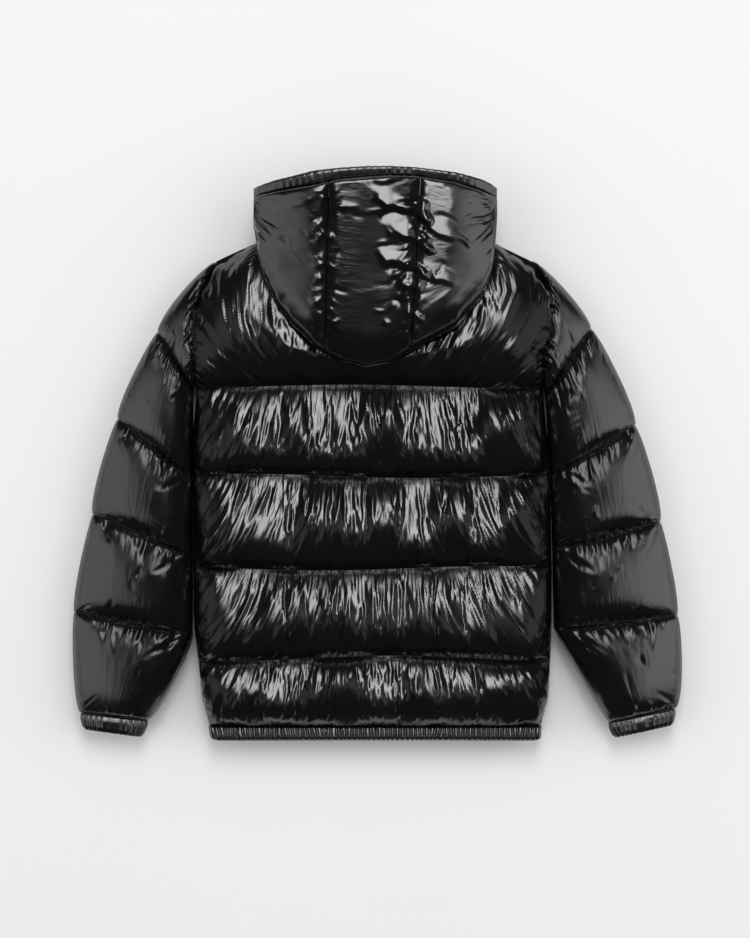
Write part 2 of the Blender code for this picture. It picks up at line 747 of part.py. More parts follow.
def centre_on_footprint():
    """Moves everything so that the origin is under the middle of the jacket."""
    bpy.context.view_layer.update()
    low, high = Vector((1e9,) * 3), Vector((-1e9,) * 3)
    for piece in bpy.context.scene.objects:
        for vertex in piece.data.vertices:
            point = piece.matrix_world @ vertex.co
            low = Vector(map(min, low, point))
            high = Vector(map(max, high, point))
    shift = Vector(((low.x + high.x) / 2, (low.y + high.y) / 2, low.z))
    for piece in bpy.context.scene.objects:
        piece.location -= shift


def main():
    for old in list(bpy.data.objects):
        bpy.data.objects.remove(old)
    shell = make_look("shell", (0.012, 0.012, 0.013), 0.22)
    hem = make_look("gathered_hem", (0.014, 0.014, 0.015), 0.32)
    tape = make_look("zip_tape", (0.02, 0.02, 0.02), 0.8)
    tooth = make_look("zip_tooth", (0.03, 0.03, 0.03), 0.4)
    metal = make_look("zip_metal", (0.05, 0.05, 0.055), 0.35, 1.0)
    make_back(shell)
    make_front("front_left", -1, shell)
    make_front("front_right", 1, shell)
    for side, table in (("left", LEFT_SLEEVE), ("right", RIGHT_SLEEVE)):
        make_sleeve(f"sleeve_{side}_top", table, True, shell)
        make_sleeve(f"sleeve_{side}_under", table, False, shell)
        make_cuff(f"cuff_{side}", CUFFS[side], hem)
    make_hems(hem)
    make_hood(shell)
    make_hood_rim(shell)
    make_collar("collar_left", -1, shell)
    make_collar("collar_right", 1, shell)
    make_zip(tape, tooth, metal)
    centre_on_footprint()


main()
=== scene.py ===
"""Looks of a black, glossy, hooded puffer jacket that lies flat on its front.

Every padded panel starts as a grid of cloth points held along its seams. A short cloth
simulation then blows the panels up, so that their spare cloth gathers into creases. Tables
are in millimetres, measured from the middle of the hem's lower edge, X across the jacket,
Y from the hem to the hood and Z up; Layout turns them into the frame's metres.
"""

import json
import logging
import math
from dataclasses import dataclass, field
from enum import Enum
from typing import Callable, Sequence

import bpy
import numpy as np
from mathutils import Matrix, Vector

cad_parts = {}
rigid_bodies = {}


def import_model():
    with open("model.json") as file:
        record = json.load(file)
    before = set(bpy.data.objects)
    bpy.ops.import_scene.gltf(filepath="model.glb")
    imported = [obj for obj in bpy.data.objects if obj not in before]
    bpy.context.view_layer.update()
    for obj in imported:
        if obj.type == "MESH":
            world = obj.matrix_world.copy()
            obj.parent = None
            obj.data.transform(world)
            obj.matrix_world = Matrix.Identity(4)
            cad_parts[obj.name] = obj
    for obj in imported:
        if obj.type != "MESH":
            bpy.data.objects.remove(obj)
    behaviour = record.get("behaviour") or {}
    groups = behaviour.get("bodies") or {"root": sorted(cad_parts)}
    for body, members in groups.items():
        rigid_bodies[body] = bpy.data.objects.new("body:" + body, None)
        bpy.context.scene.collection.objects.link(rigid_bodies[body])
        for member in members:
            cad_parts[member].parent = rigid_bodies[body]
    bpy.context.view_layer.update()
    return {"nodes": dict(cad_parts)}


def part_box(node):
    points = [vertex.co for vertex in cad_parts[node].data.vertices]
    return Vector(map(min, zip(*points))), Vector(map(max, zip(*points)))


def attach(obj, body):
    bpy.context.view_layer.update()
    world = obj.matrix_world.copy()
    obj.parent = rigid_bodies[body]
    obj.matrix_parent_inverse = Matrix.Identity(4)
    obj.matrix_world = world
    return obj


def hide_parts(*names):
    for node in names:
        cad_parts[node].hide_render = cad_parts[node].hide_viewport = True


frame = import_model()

Amount = np.ndarray | float

LOG = logging.getLogger("puffer")
ROOT_BODY = "jacket"
MM = 0.001

MIDDLE = 40.0            # height of the plane where the front and back layers meet
LAYER_GAP = 0.3
SEAM_GAP = 0.3           # half the cut between two pieces sewn end to end
HEM_TOP = 22.0
SHOULDER = 698.0
BODY_SEAMS = (HEM_TOP, 116.0, 242.0, 371.0, 496.0, SHOULDER)
SEAM_HEIGHT = 0.45       # height left at a quilting seam, as a share of the crest
SIDE_HEIGHT = 0.09
ARMHOLE_HEIGHT = 0.5
BODY_CREST = 42.0        # how far a full baffle of the back stands above the middle
BODY_ROUND = 62.0        # how far in from its side the body rounds over
NECK_LINE = 690.0
NECK_DROP = 62.0         # how far the front's neckline dips below the shoulders
ZIP_HALF_CHANNEL = 15.0
EDGE_GAP = 0.2           # cut between a sleeve and the body
TURN = 6.3               # one turn in radians, for random starts of waves
TILT_WIDTH = 0.94        # share of a panel's width over which its tilt runs out
BODY_CLEAR_LEVEL = 560.0 # below this level a sleeve keeps clear of the body

# Body outline: level, left edge, right edge.
BODY_EDGES = np.array((
    (0, -225, 229),
    (3, -230, 232),
    (22, -233, 233),
    (66, -244, 244),
    (116, -248, 246),
    (180, -255, 248),
    (242, -255, 248),
    (371, -255, 245),
    (435, -256, 241),
    (496, -250, 235),
    (572, -251, 237),
    (608, -250, 243),
    (646, -237, 240),
    (673, -223, 220),
    (687, -193, 190),
    (698, -166, 168),
), float)

# Hood outline: x, level of its fold, of its rim's seam and of the rim.
HOOD_EDGES = np.array((
    (-168, 735, 756, 770),
    (-162, 671, 758, 772),
    (-153, 645, 760, 775),
    (-136, 608, 763, 780),
    (-117, 582, 766, 784),
    (-85, 551, 771, 792),
    (-47, 529, 779, 796),
    (-11, 521, 782, 798),
    (21, 526, 784, 798),
    (55, 546, 784, 797),
    (112, 577, 775, 790),
    (148, 620, 764, 781),
    (160, 650, 759, 776),
    (169, 725, 756, 770),
), float)
HOOD_FLOOR = 88.0
HOOD_RIM_DROP = 12.0
HOOD_SLIT = 2.5
HOOD_NOSE = 5.0
HOOD_UNDER_THICK = 15.0
HOOD_DROP_STARTS = 665.0   # the slit sinks from this level on, over the length below
HOOD_DROP_LENGTH = 135.0
HOOD_PRESS = 0.68          # the yoke's height where the hood lies on it
HOOD_HALF_WIDTH = 165.0
HOOD_COVER_EDGE = 60.0     # over this length the yoke passes from free to pressed
HOOD_TOP_LEVEL = 785.0     # levels at which the lines down the hood are given
HOOD_LOW_LEVEL = 550.0


class Side(Enum):
    """The jacket's two halves, as seen from above."""

    LEFT = -1
    RIGHT = 1

    @property
    def word(self) -> str:
        """The side's name inside a piece's name."""
        return self.name.lower()


class Layer(Enum):
    """Which way a padded layer bulges from the middle plane."""

    UPPER = 1
    UNDER = -1


def mix(low: Amount, high: Amount, share: Amount) -> Amount:
    """Value a share of the way from low to high; takes numbers and arrays."""
    return low + (high - low) * share


def ease(share: Amount) -> Amount:
    """Smooth step from 0 to 1."""
    share = np.clip(share, 0.0, 1.0)
    return share * share * (3.0 - 2.0 * share)


def dome(distance: Amount, radius: float) -> Amount:
    """Quarter-round rise from 0 at an edge to 1 at the radius."""
    share = np.clip(np.asarray(distance, float) / radius, 0.0, 1.0)
    return np.sqrt(1.0 - (1.0 - share) ** 2)


def column(table: np.ndarray, at: Amount, index: int) -> Amount:
    """Reads one column of a table at a place along its first column."""
    return np.interp(at, table[:, 0], table[:, index])


def hood_floor(y: Amount) -> Amount:
    """Height of the slit between the hood's two layers, lower towards the rim."""
    return HOOD_FLOOR - HOOD_RIM_DROP * ease((np.asarray(y) - HOOD_DROP_STARTS) / HOOD_DROP_LENGTH)


def share_under_hood(x: Amount, y: Amount) -> Amount:
    """How far a point of the back lies under the hood, from 0 outside to 1."""
    inside = np.minimum(y - column(HOOD_EDGES, x, 1), HOOD_HALF_WIDTH - np.abs(x))
    return ease(inside / HOOD_COVER_EDGE + 0.5)


@dataclass(frozen=True)
class Layout:
    """Turns the tables' millimetres into the frame's metres."""

    shift_x: float
    shift_y: float

    @classmethod
    def from_frame(cls) -> "Layout":
        """Reads the shift from where the hem and the back lie in the frame.

        Returns:
            The layout of this frame.
        """
        back_low, back_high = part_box("back")
        edges = BODY_EDGES[:, 1].min() * MM, BODY_EDGES[:, 2].max() * MM
        centre = (back_low.x + back_high.x) / 2
        return cls(centre - sum(edges) / 2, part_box("hem_back")[0].y)

    def metres(self, points: np.ndarray) -> np.ndarray:
        """Points of any grid shape, in the frame's metres."""
        return points * MM + np.array((self.shift_x, self.shift_y, 0.0))


def make_mesh(name: str, points: np.ndarray, faces: Sequence, look: bpy.types.Material,
              pucker: np.ndarray | None = None, grain: np.ndarray | None = None,
              ends: np.ndarray | None = None) -> bpy.types.Object:
    """Makes a smooth-shaded object from points and faces in the frame's metres.

    Args:
        name: The piece's name.
        points: One row for each point.
        faces: Corner numbers, three or more to a face.
        look: The piece's material.
        pucker: How crumpled the cloth is at each point, from 0 to 1.
        grain: Place across and along the cloth at each point of each row, in metres.
        ends: The same where a row closes the faces before it, if that differs.

    Returns:
        The linked object.
    """
    mesh = bpy.data.meshes.new(name)
    mesh.from_pydata(points.reshape(-1, 3).tolist(), [], faces)
    mesh.update()
    mesh.materials.append(look)
    mesh.shade_smooth()
    count = len(mesh.vertices)
    if pucker is not None:
        values = np.zeros(count, np.float32)
        values[:pucker.size] = pucker.ravel()
        mesh.attributes.new("pucker", "FLOAT", "POINT").data.foreach_set("value", values)
    if grain is not None:
        flat = np.zeros((count, 2), np.float32)
        flat[:grain.size // 2] = grain.reshape(-1, 2)
        corners = np.empty(len(mesh.loops), np.int32)
        mesh.loops.foreach_get("vertex_index", corners)
        cloth_map = flat[corners]
        if ends is not None:
            width = grain.shape[1]
            row = corners // width
            first = np.minimum.reduceat(row, np.arange(0, len(corners) - len(corners) % 4, 4))
            first = np.resize(np.repeat(first, 4), len(corners))
            closing = (row == first + 1) & (corners < grain.size // 2)
            cloth_map[closing] = ends.reshape(-1, 2)[corners[closing]]
        mesh.uv_layers.new(name="cloth").data.foreach_set("uv", cloth_map.ravel())
    piece = bpy.data.objects.new(name, mesh)
    bpy.context.scene.collection.objects.link(piece)
    return piece


def grid_faces(rows: int, columns: int, start: int = 0, flip: bool = False) -> list[list[int]]:
    """Quads over a grid of points numbered row by row.

    Args:
        rows: How many rows there are.
        columns: Points in each row.
        start: Number of the first point.
        flip: Whether the quads face the other way.

    Returns:
        Four corner numbers for each quad.
    """
    index = start + np.arange(rows * columns).reshape(rows, columns)
    corners = (index[:-1, :-1], index[:-1, 1:], index[1:, 1:], index[1:, :-1])
    quads = np.stack(corners[::-1] if flip else corners, -1)
    return quads.reshape(-1, 4).tolist()


def wall_faces(outer: Sequence[int], inner: Sequence[int], flip: bool) -> list[list[int]]:
    """Quads between two equally long runs of points.

    Args:
        outer: Point numbers of one run.
        inner: Point numbers of the other.
        flip: Whether the quads face the other way.

    Returns:
        Four corner numbers for each quad.
    """
    faces = []
    for j in range(len(outer) - 1):
        quad = [outer[j], outer[j + 1], inner[j + 1], inner[j]]
        faces.append(quad[::-1] if flip else quad)
    return faces


@dataclass(frozen=True)
class CreaseStyle:
    """How the creases of one baffle are laid out.

    Lengths, widths and depths are in millimetres. Fan is the lean at the baffle's right
    end, in millimetres across for each one down, and its opposite at the left end.
    """

    per_metre: float = 190.0
    typical: float = 38.0
    shortest: float = 14.0
    longest: float = 95.0
    width: float = 2.6
    depth: float = 0.9
    fan: float = 0.45
    scatter: float = 0.13
    from_high: float = 0.6
    loose: float = 0.7


@dataclass(frozen=True)
class Facing:
    """How one baffle's cloth faces along it: 1 catches the light, -1 turns away from it.

    Each knot holds a place across the jacket, in millimetres, and the facing there.
    """

    knots: tuple[tuple[float, float], ...]
    size: float = 4.2

    def height(self, x: np.ndarray, phase: np.ndarray) -> np.ndarray:
        """How far the cloth stands out from its even shape, in millimetres.

        Args:
            x: Place across the jacket of each point.
            phase: How far each point is from the lower seam to the upper one.

        Returns:
            A height for each point.
        """
        places, values = np.array(self.knots, float).T
        wave = np.sin(2.0 * math.pi * phase) * (0.5 + 0.5 * np.sin(math.pi * phase))
        return self.size * np.interp(x, places, values) * wave


@dataclass
class Panel:
    """A grid of cloth points, rows along the garment and columns across it.

    Heights are outwards, so an under layer is turned over when its mesh is made.
    """

    name: str
    points: np.ndarray
    phase: np.ndarray
    held: np.ndarray
    slack: np.ndarray
    least: float
    most: float
    pressure: float
    limit: float = 24.0
    ridges: tuple[CreaseStyle, ...] = ()
    swell: float = 0.0
    sag: float = 0.0
    seed: int = 0
    facings: tuple[Facing, ...] = ()
    relief: Amount = 0.0
    first_sag: float = 0.3
    swell_lengths: tuple[float, ...] = (190.0, 120.0, 74.0)
    calm_columns: float = 6.0

    def _baffles(self) -> list[tuple[int, int]]:
        """First row of each baffle and the row of the seam after it."""
        seams = np.nonzero(self.phase == 0.0)[0]
        return list(zip(seams, seams[1:]))

    def _plan_of(self, low: int, high: int) -> tuple[np.ndarray, np.ndarray]:
        """Distances within one baffle.

        Args:
            low: The baffle's first row.
            high: The row of the seam after it.

        Returns:
            Distances along the baffle, from its first seam, and across it.
        """
        span = np.linalg.norm(self.points[high] - self.points[low], axis=-1)
        middle = (low + high) // 2
        width = float(np.linalg.norm(self.points[middle, -1, :2] - self.points[middle, 0, :2]))
        return self.phase[low:high, None] * span, np.linspace(0.0, width, self.points.shape[1])[None, :]

    def creases(self, styles: Sequence[CreaseStyle], seed: int) -> np.ndarray:
        """Height of lens-shaped creases that run from the seams, in millimetres.

        Args:
            styles: Their sizes in each baffle, the last of them for any that are left.
            seed: Start of the random draws.

        Returns:
            A height for each point.
        """
        random = np.random.default_rng(seed)
        total = np.zeros(self.held.shape)
        for i, (low, high) in enumerate(self._baffles()):
            style = styles[min(i, len(styles) - 1)]
            along, across = self._plan_of(low, high)
            for _ in range(int(style.per_metre * across.max() / 1000.0)):
                total[low:high] += self._crease(style, random, along, across)
        return total * ~self.held

    def _crease(self, style: CreaseStyle, random: np.random.Generator,
                along: np.ndarray, across: np.ndarray) -> np.ndarray:
        """Height of one crease over its baffle.

        Args:
            style: The baffle's crease sizes.
            random: The random draws.
            along: Distance of each point from the baffle's first seam.
            across: Distance of each column from the first one.

        Returns:
            A height for each point of the baffle.
        """
        width, span = float(across.max()), float(np.median(along[-1]))
        place = random.uniform(0.0, width)
        length = float(np.clip(random.lognormal(math.log(style.typical), 0.5), style.shortest,
                               min(style.longest, span * 0.95)))
        from_high = random.random() < style.from_high
        start = random.uniform(0.0, 0.75) * (span - length) if random.random() < style.loose else 0.0
        share_across = place / width * 2.0 - 1.0
        lean = style.fan * share_across + random.normal(0.0, style.scatter * (1.6 - abs(share_across)))
        down = (along[-1:] - along - start) if from_high else along - start
        lean = lean if from_high else -lean
        share = np.clip(down / length, 0.0, 1.0)
        bend = random.normal(0.0, 2.0) * np.sin(share * math.pi * 1.3)
        middle = place + lean * (down + start - span * 0.35) + bend
        girth = style.width * random.uniform(0.6, 1.5) * (0.6 + 0.6 * share)
        depth = style.depth * random.uniform(0.35, 1.3) * random.choice((-1.0, 1.0, 1.0))
        profile = np.exp(-np.abs((across - middle) / girth) ** 1.6)
        return depth * profile * np.sin(math.pi * share ** 0.75)

    def leans(self, styles: Sequence[CreaseStyle]) -> np.ndarray:
        """How far the cloth's fine grain leans away from straight down.

        Args:
            styles: Crease sizes in each baffle, the last of them for any that are left.

        Returns:
            A distance for each point, in millimetres.
        """
        total = np.zeros(self.held.shape)
        for i, (low, high) in enumerate(self._baffles()):
            style = styles[min(i, len(styles) - 1)]
            along, across = self._plan_of(low, high)
            share = across / across.max() * 2.0 - 1.0
            total[low:high] = style.fan * share * (along[-1:] - along)
        return total

    def add_ridges(self) -> None:
        """Lets the blown-up baffles sag, then adds broad swells and sharp creases."""
        for number, (low, high) in enumerate(self._baffles()):
            fall = self.points[low, :, :2] - self.points[high, :, :2]
            sag = self.sag * (1.0 if number else self.first_sag)
            share = sag * np.sin(math.pi * self.phase[low:high, None, None])
            self.points[low:high, :, :2] += share * fall[None]
        height = np.zeros(self.held.shape) + self.relief
        random = np.random.default_rng(self.seed + 500)
        for low, high in self._baffles():
            _, across = self._plan_of(low, high)
            phase = self.phase[low:high, None]
            for length in self.swell_lengths:
                turns = across / length * 2.0 * math.pi
                first = np.cos(turns + random.uniform(0, TURN))
                second = np.cos(turns + random.uniform(0, TURN))
                height[low:high] += self.swell * (0.5 * np.sin(math.pi * phase) * first
                                                  + 0.4 * np.sin(2.0 * math.pi * phase) * second)
        for facing, (low, high) in zip(self.facings, self._baffles()):
            height[low:high] += facing.height(self.points[low:high, :, 0], self.phase[low:high, None])
        if self.ridges:
            height += self.creases(self.ridges, self.seed + 900)
        edge = np.minimum(np.arange(self.held.shape[1]), np.arange(self.held.shape[1])[::-1])
        height *= np.clip(edge / self.calm_columns, 0.0, 1.0)[None, :]
        self.points = self.points + height[..., None] * self._normals()

    def _normals(self) -> np.ndarray:
        """Unit normals of the grid, pointing outwards."""
        down, right = np.gradient(self.points, axis=0), np.gradient(self.points, axis=1)
        normal = np.cross(right, down)
        normal *= np.sign(normal[..., 2].mean())
        return normal / np.maximum(np.linalg.norm(normal, axis=-1, keepdims=True), 1e-9)

    def cloth_object(self) -> bpy.types.Object:
        """The panel as an object with Blender's Cloth on it.

        Returns:
            The object, which is removed once the cloth has been read back.
        """
        rows, columns = self.held.shape
        right, down = self.points[0, -1] - self.points[0, 0], self.points[-1, 0] - self.points[0, 0]
        faces = grid_faces(rows, columns, flip=bool(np.cross(right, down)[2] < 0.0))
        mesh = bpy.data.meshes.new(self.name + "_cloth")
        mesh.from_pydata((self.points * MM).reshape(-1, 3).tolist(), [], faces)
        piece = bpy.data.objects.new(self.name + "_cloth", mesh)
        bpy.context.scene.collection.objects.link(piece)
        sewn = piece.vertex_groups.new(name="sewn")
        sewn.add(np.nonzero(self.held.ravel())[0].tolist(), 1.0, "REPLACE")
        spare = piece.vertex_groups.new(name="spare")
        levels = np.round(self.slack.ravel() * 20.0) / 20.0
        for level in np.unique(levels):
            if level > 0.0:
                spare.add(np.nonzero(levels == level)[0].tolist(), float(level), "REPLACE")
        cloth = piece.modifiers.new("cloth", "CLOTH")
        settings = cloth.settings
        settings.quality = 5
        settings.mass = 0.1
        settings.air_damping = 1.0
        settings.tension_stiffness = settings.compression_stiffness = 15.0
        settings.shear_stiffness = 5.0
        settings.bending_stiffness = 0.0004
        settings.tension_damping = settings.compression_damping = settings.shear_damping = 1.0
        settings.vertex_group_mass = "sewn"
        settings.use_pressure = True
        settings.uniform_pressure_force = self.pressure
        settings.effector_weights.gravity = 0.0
        settings.vertex_group_shrink = "spare"
        settings.shrink_min = -self.least
        settings.shrink_max = -self.most
        cloth.collision_settings.use_collision = False
        cloth.collision_settings.use_self_collision = False
        cloth.point_cache.frame_start = 1
        cloth.point_cache.frame_end = ClothRoom.frames + 1
        return piece

    def read_back(self, piece: bpy.types.Object) -> None:
        """Takes the blown-up points from the simulated object and removes it.

        Args:
            piece: The object that cloth_object() made.
        """
        graph = bpy.context.evaluated_depsgraph_get()
        mesh = piece.evaluated_get(graph).to_mesh()
        moved = np.empty(len(mesh.vertices) * 3, np.float32)
        mesh.vertices.foreach_get("co", moved)
        moved = moved.reshape(self.points.shape) / MM
        piece.evaluated_get(graph).to_mesh_clear()
        step = moved - self.points
        length = np.linalg.norm(step, axis=-1, keepdims=True)
        self.points = self.points + step * np.minimum(1.0, self.limit / np.maximum(length, 1e-6))
        bpy.data.objects.remove(piece)

    def grain(self) -> np.ndarray:
        """Distance across and along the cloth at each point, in metres."""
        across = np.linalg.norm(np.diff(self.points, axis=1), axis=-1)
        along = np.linalg.norm(np.diff(self.points, axis=0), axis=-1)
        flat = np.zeros(self.points.shape[:2] + (2,))
        flat[:, 1:, 0] = np.cumsum(np.broadcast_to(across.mean(0), across.shape), axis=1)
        if self.ridges:
            flat[..., 0] -= self.leans(self.ridges)
        flat[1:, :, 1] = np.cumsum(np.broadcast_to(along.mean(1)[:, None], along.shape), axis=0)
        return flat * MM

    def grain_ends(self) -> np.ndarray:
        """The same places, with each seam taken as the end of the baffle before it."""
        flat = self.grain()
        seams = np.nonzero(self.phase == 0.0)[0][1:]
        flat[seams, :, 0] = 2.0 * flat[seams - 1, :, 0] - flat[seams - 2, :, 0]
        return flat

    def pucker(self) -> np.ndarray:
        """How crumpled the cloth is: 1 at a quilting seam, less in a baffle's middle."""
        near = 1.0 - np.minimum(self.phase, 1.0 - self.phase) / 0.5
        return np.broadcast_to(near[:, None], self.held.shape)


@dataclass
class ClothRoom:
    """Runs the cloth of all panels at once, so that they share the processor's cores."""

    panels: list[Panel] = field(default_factory=list)
    frames: int = 26

    def add(self, panel: Panel) -> Panel:
        """Puts a panel on the list and hands it back."""
        self.panels.append(panel)
        return panel

    def run(self) -> None:
        scene = bpy.context.scene
        pieces = [panel.cloth_object() for panel in self.panels]
        for number in range(1, self.frames + 1):
            scene.frame_set(number)
        for panel, piece in zip(self.panels, pieces):
            panel.read_back(piece)
            panel.add_ridges()
            LOG.info("%s: highest point %.0f mm", panel.name, panel.points[..., 2].max())
        scene.frame_set(1)


@dataclass(frozen=True)
class Fill:
    """How tightly the panels of one kind are filled, and how fine their cloth is.

    Heights, steps and the limit are in millimetres. Seam and crown are the shares of the
    crest's height at a seam and added in a baffle's middle, which a low boxy makes flat.
    Spare is the share of extra cloth, in a baffle's middle and at its seams, and reach how
    far from a seam the latter goes. Creases are pressed in before the panel is blown up,
    and ridges, swells and the sag towards the first seam, as a share of the baffle, come
    afterwards.
    """

    crest: float
    step_across: float
    step_along: float
    seam: float = SEAM_HEIGHT
    crown: float = 0.25
    boxy: float = 0.5
    spare_middle: float = 0.05
    spare_seam: float = 0.12
    reach: float = 0.4
    pressure: float = 170.0
    limit: float = 24.0
    creases: tuple[CreaseStyle, ...] = (CreaseStyle(),)
    ridges: tuple[CreaseStyle, ...] = ()
    swell: float = 0.0
    sag: float = 0.0
    facings: tuple[Facing, ...] = ()

    def start(self, name: str, points: np.ndarray, phase: np.ndarray, seed: int) -> Panel:
        """Starts a panel of this kind, held along its seams and sides.

        Args:
            name: The panel's name.
            points: Its points before it is blown up.
            phase: How far each row is from one seam to the next.
            seed: Start of the random draws.

        Returns:
            The panel, with shallow creases in it.
        """
        held = np.zeros(points.shape[:2], bool)
        held[phase == 0.0] = True
        held[:, 0] = held[:, -1] = True
        gap = np.minimum(phase, 1.0 - phase)
        slack = np.broadcast_to(1.0 - np.clip(gap / self.reach, 0.0, 1.0)[:, None], held.shape)
        panel = Panel(name, points, phase, held, slack, self.spare_middle, self.spare_seam,
                      self.pressure, self.limit, self.ridges, self.swell, self.sag, seed, self.facings)
        panel.points[..., 2] += panel.creases(self.creases, seed)
        return panel


def between(levels: Sequence[float], step: float) -> tuple[np.ndarray, np.ndarray]:
    """Rows of points from seam to seam.

    Args:
        levels: Where the seams are.
        step: Distance between rows.

    Returns:
        The rows' levels, and how far each is from one seam to the next, 0 on a seam.
    """
    rows, phase = [], []
    for low, high in zip(levels, levels[1:]):
        count = max(int(round(abs(high - low) / step)), 4)
        share = np.arange(count) / count
        rows.append(mix(low, high, share))
        phase.append(share)
    rows.append(np.array([levels[-1]]))
    phase.append(np.zeros(1))
    return np.concatenate(rows), np.concatenate(phase)


def make_panel(name: str, plan: np.ndarray, phase: np.ndarray, side_lift: np.ndarray,
               rounding: tuple[float, float], fill: Fill, seed: int,
               press: Amount = 1.0, tilt: float = 0.0) -> Panel:
    """Starts a panel: low at its seams and sides, with shallow creases between them.

    Args:
        name: The panel's name.
        plan: X and Y of each point.
        phase: How far each row is from one seam to the next.
        side_lift: Height left at the first and last column, as a share of the crest.
        rounding: How far in from its first and last column the panel rounds over.
        fill: How it is filled.
        seed: Start of the random draws.
        press: What each point's height is multiplied by.
        tilt: How much lower the panel is towards its first column, as a share.

    Returns:
        The panel, ready for the cloth simulation.
    """
    runs = np.linalg.norm(np.diff(plan, axis=1), axis=-1)
    near = np.concatenate([np.zeros((len(plan), 1)), np.cumsum(runs, axis=1)], axis=1)
    far = near[:, -1:] - near
    first, last = side_lift
    rise = mix(first[:, None], 1.0, dome(near, rounding[0]))
    rise = np.minimum(rise, mix(last[:, None], 1.0, dome(far, rounding[1])))
    rise *= 1.0 - tilt * (1.0 - np.clip(near / (TILT_WIDTH * near[:, -1:]), 0.0, 1.0))
    swell = fill.seam + fill.crown * np.clip(4.0 * phase * (1.0 - phase), 0.0, 1.0) ** fill.boxy
    height = fill.crest * press * swell[:, None] * rise
    return fill.start(name, np.concatenate([plan, height[..., None]], axis=-1), phase, seed)


def closed_panel(panel: Panel, layout: Layout, layer: Layer, look: bpy.types.Material,
                 inset: float = 1.5) -> bpy.types.Object:
    """Closes a blown-up panel with side walls and a flat inner face.

    Args:
        panel: The panel after the simulation.
        layout: The frame's layout.
        layer: Above or below the middle plane.
        look: The panel's material.
        inset: How far the inner face's sides draw in, which pinches the side seam.

    Returns:
        The piece.
    """
    rows, columns = panel.held.shape
    outer = panel.points.copy()
    inner_level = MIDDLE + layer.value * LAYER_GAP
    outer[..., 2] = np.maximum(inner_level + layer.value * outer[..., 2], 0.0)
    inner = outer[:, (0, -1)].copy()
    inward = outer[:, -1, :2] - outer[:, 0, :2]
    inward /= np.linalg.norm(inward, axis=1, keepdims=True)
    inner[:, 0, :2] += inward * inset
    inner[:, 1, :2] -= inward * inset
    inner[..., 2] = inner_level
    points = np.concatenate([outer.reshape(-1, 3), inner.transpose(1, 0, 2).reshape(-1, 3)])
    index = np.arange(rows * columns).reshape(rows, columns)
    left = rows * columns + np.arange(rows)
    right = left + rows
    faces = grid_faces(rows, columns)
    faces += wall_faces(index[:, 0], left, flip=False)
    faces += wall_faces(index[:, -1], right, flip=True)
    faces += wall_faces(left, right, flip=False)
    faces.append(index[0].tolist()[::-1] + [left[0], right[0]])
    faces.append(index[-1].tolist() + [right[-1], left[-1]])
    piece = make_mesh(panel.name, layout.metres(points), outward(points, faces), look,
                      panel.pucker(), panel.grain(), panel.grain_ends())
    sharpen_rows(piece.data, np.nonzero(panel.phase == 0.0)[0], columns)
    return piece


def sharpen_rows(mesh: bpy.types.Mesh, rows: np.ndarray, columns: int) -> None:
    """Breaks the shading along whole rows of a grid, where two baffles meet in a groove.

    Args:
        mesh: The mesh whose first points are the grid.
        rows: The rows' numbers.
        columns: Points in each row.
    """
    ends = np.empty(len(mesh.edges) * 2, np.int32)
    mesh.edges.foreach_get("vertices", ends)
    ends = ends.reshape(-1, 2)
    row = ends // columns
    sharp = (row[:, 0] == row[:, 1]) & np.isin(row[:, 0], rows)
    data = mesh.attributes.new("sharp_edge", "BOOLEAN", "EDGE").data
    data.foreach_set("value", sharp)


def outward(points: np.ndarray, faces: list) -> list:
    """Turns every face of a closed mesh over if it encloses a negative volume.

    Args:
        points: The mesh's points.
        faces: Corner numbers of each face.

    Returns:
        The faces, pointing outwards.
    """
    volume = 0.0
    for size in {len(face) for face in faces}:
        corners = points[np.array([face for face in faces if len(face) == size])]
        for i in range(1, size - 1):
            normal = np.cross(corners[:, i], corners[:, i + 1])
            volume += float(np.einsum("ij,ij->", corners[:, 0], normal))
    return faces if volume > 0.0 else [face[::-1] for face in faces]


def loft_faces(rings: int, count: int) -> list:
    """Faces of a closed solid through rings of equally many points, with flat ends.

    Args:
        rings: How many rings there are.
        count: Points in each ring.

    Returns:
        Corner numbers of each face.
    """
    index = np.arange(rings * count).reshape(rings, count)
    faces = []
    for ring, following in zip(index, index[1:]):
        after = np.roll(ring, -1), np.roll(following, -1)
        faces += np.stack([ring, after[0], after[1], following], -1).tolist()
    faces.append(index[0].tolist()[::-1])
    faces.append(index[-1].tolist())
    return faces


def put_on(piece: bpy.types.Object, nodes: Sequence[str] = ()) -> bpy.types.Object:
    """Puts a piece on the jacket and reports it.

    Args:
        piece: The piece.
        nodes: The plain solids that it stands for.

    Returns:
        The piece.
    """
    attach(piece, ROOT_BODY)
    if nodes:
        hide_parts(*nodes)
    LOG.info("%s: %d faces", piece.name, len(piece.data.polygons))
    return piece


def put_on_padded(piece: bpy.types.Object, node: str) -> bpy.types.Object:
    """Puts a padded piece of shell cloth on the jacket, in place of its plain solid."""
    put_on(piece, [node])
    return piece


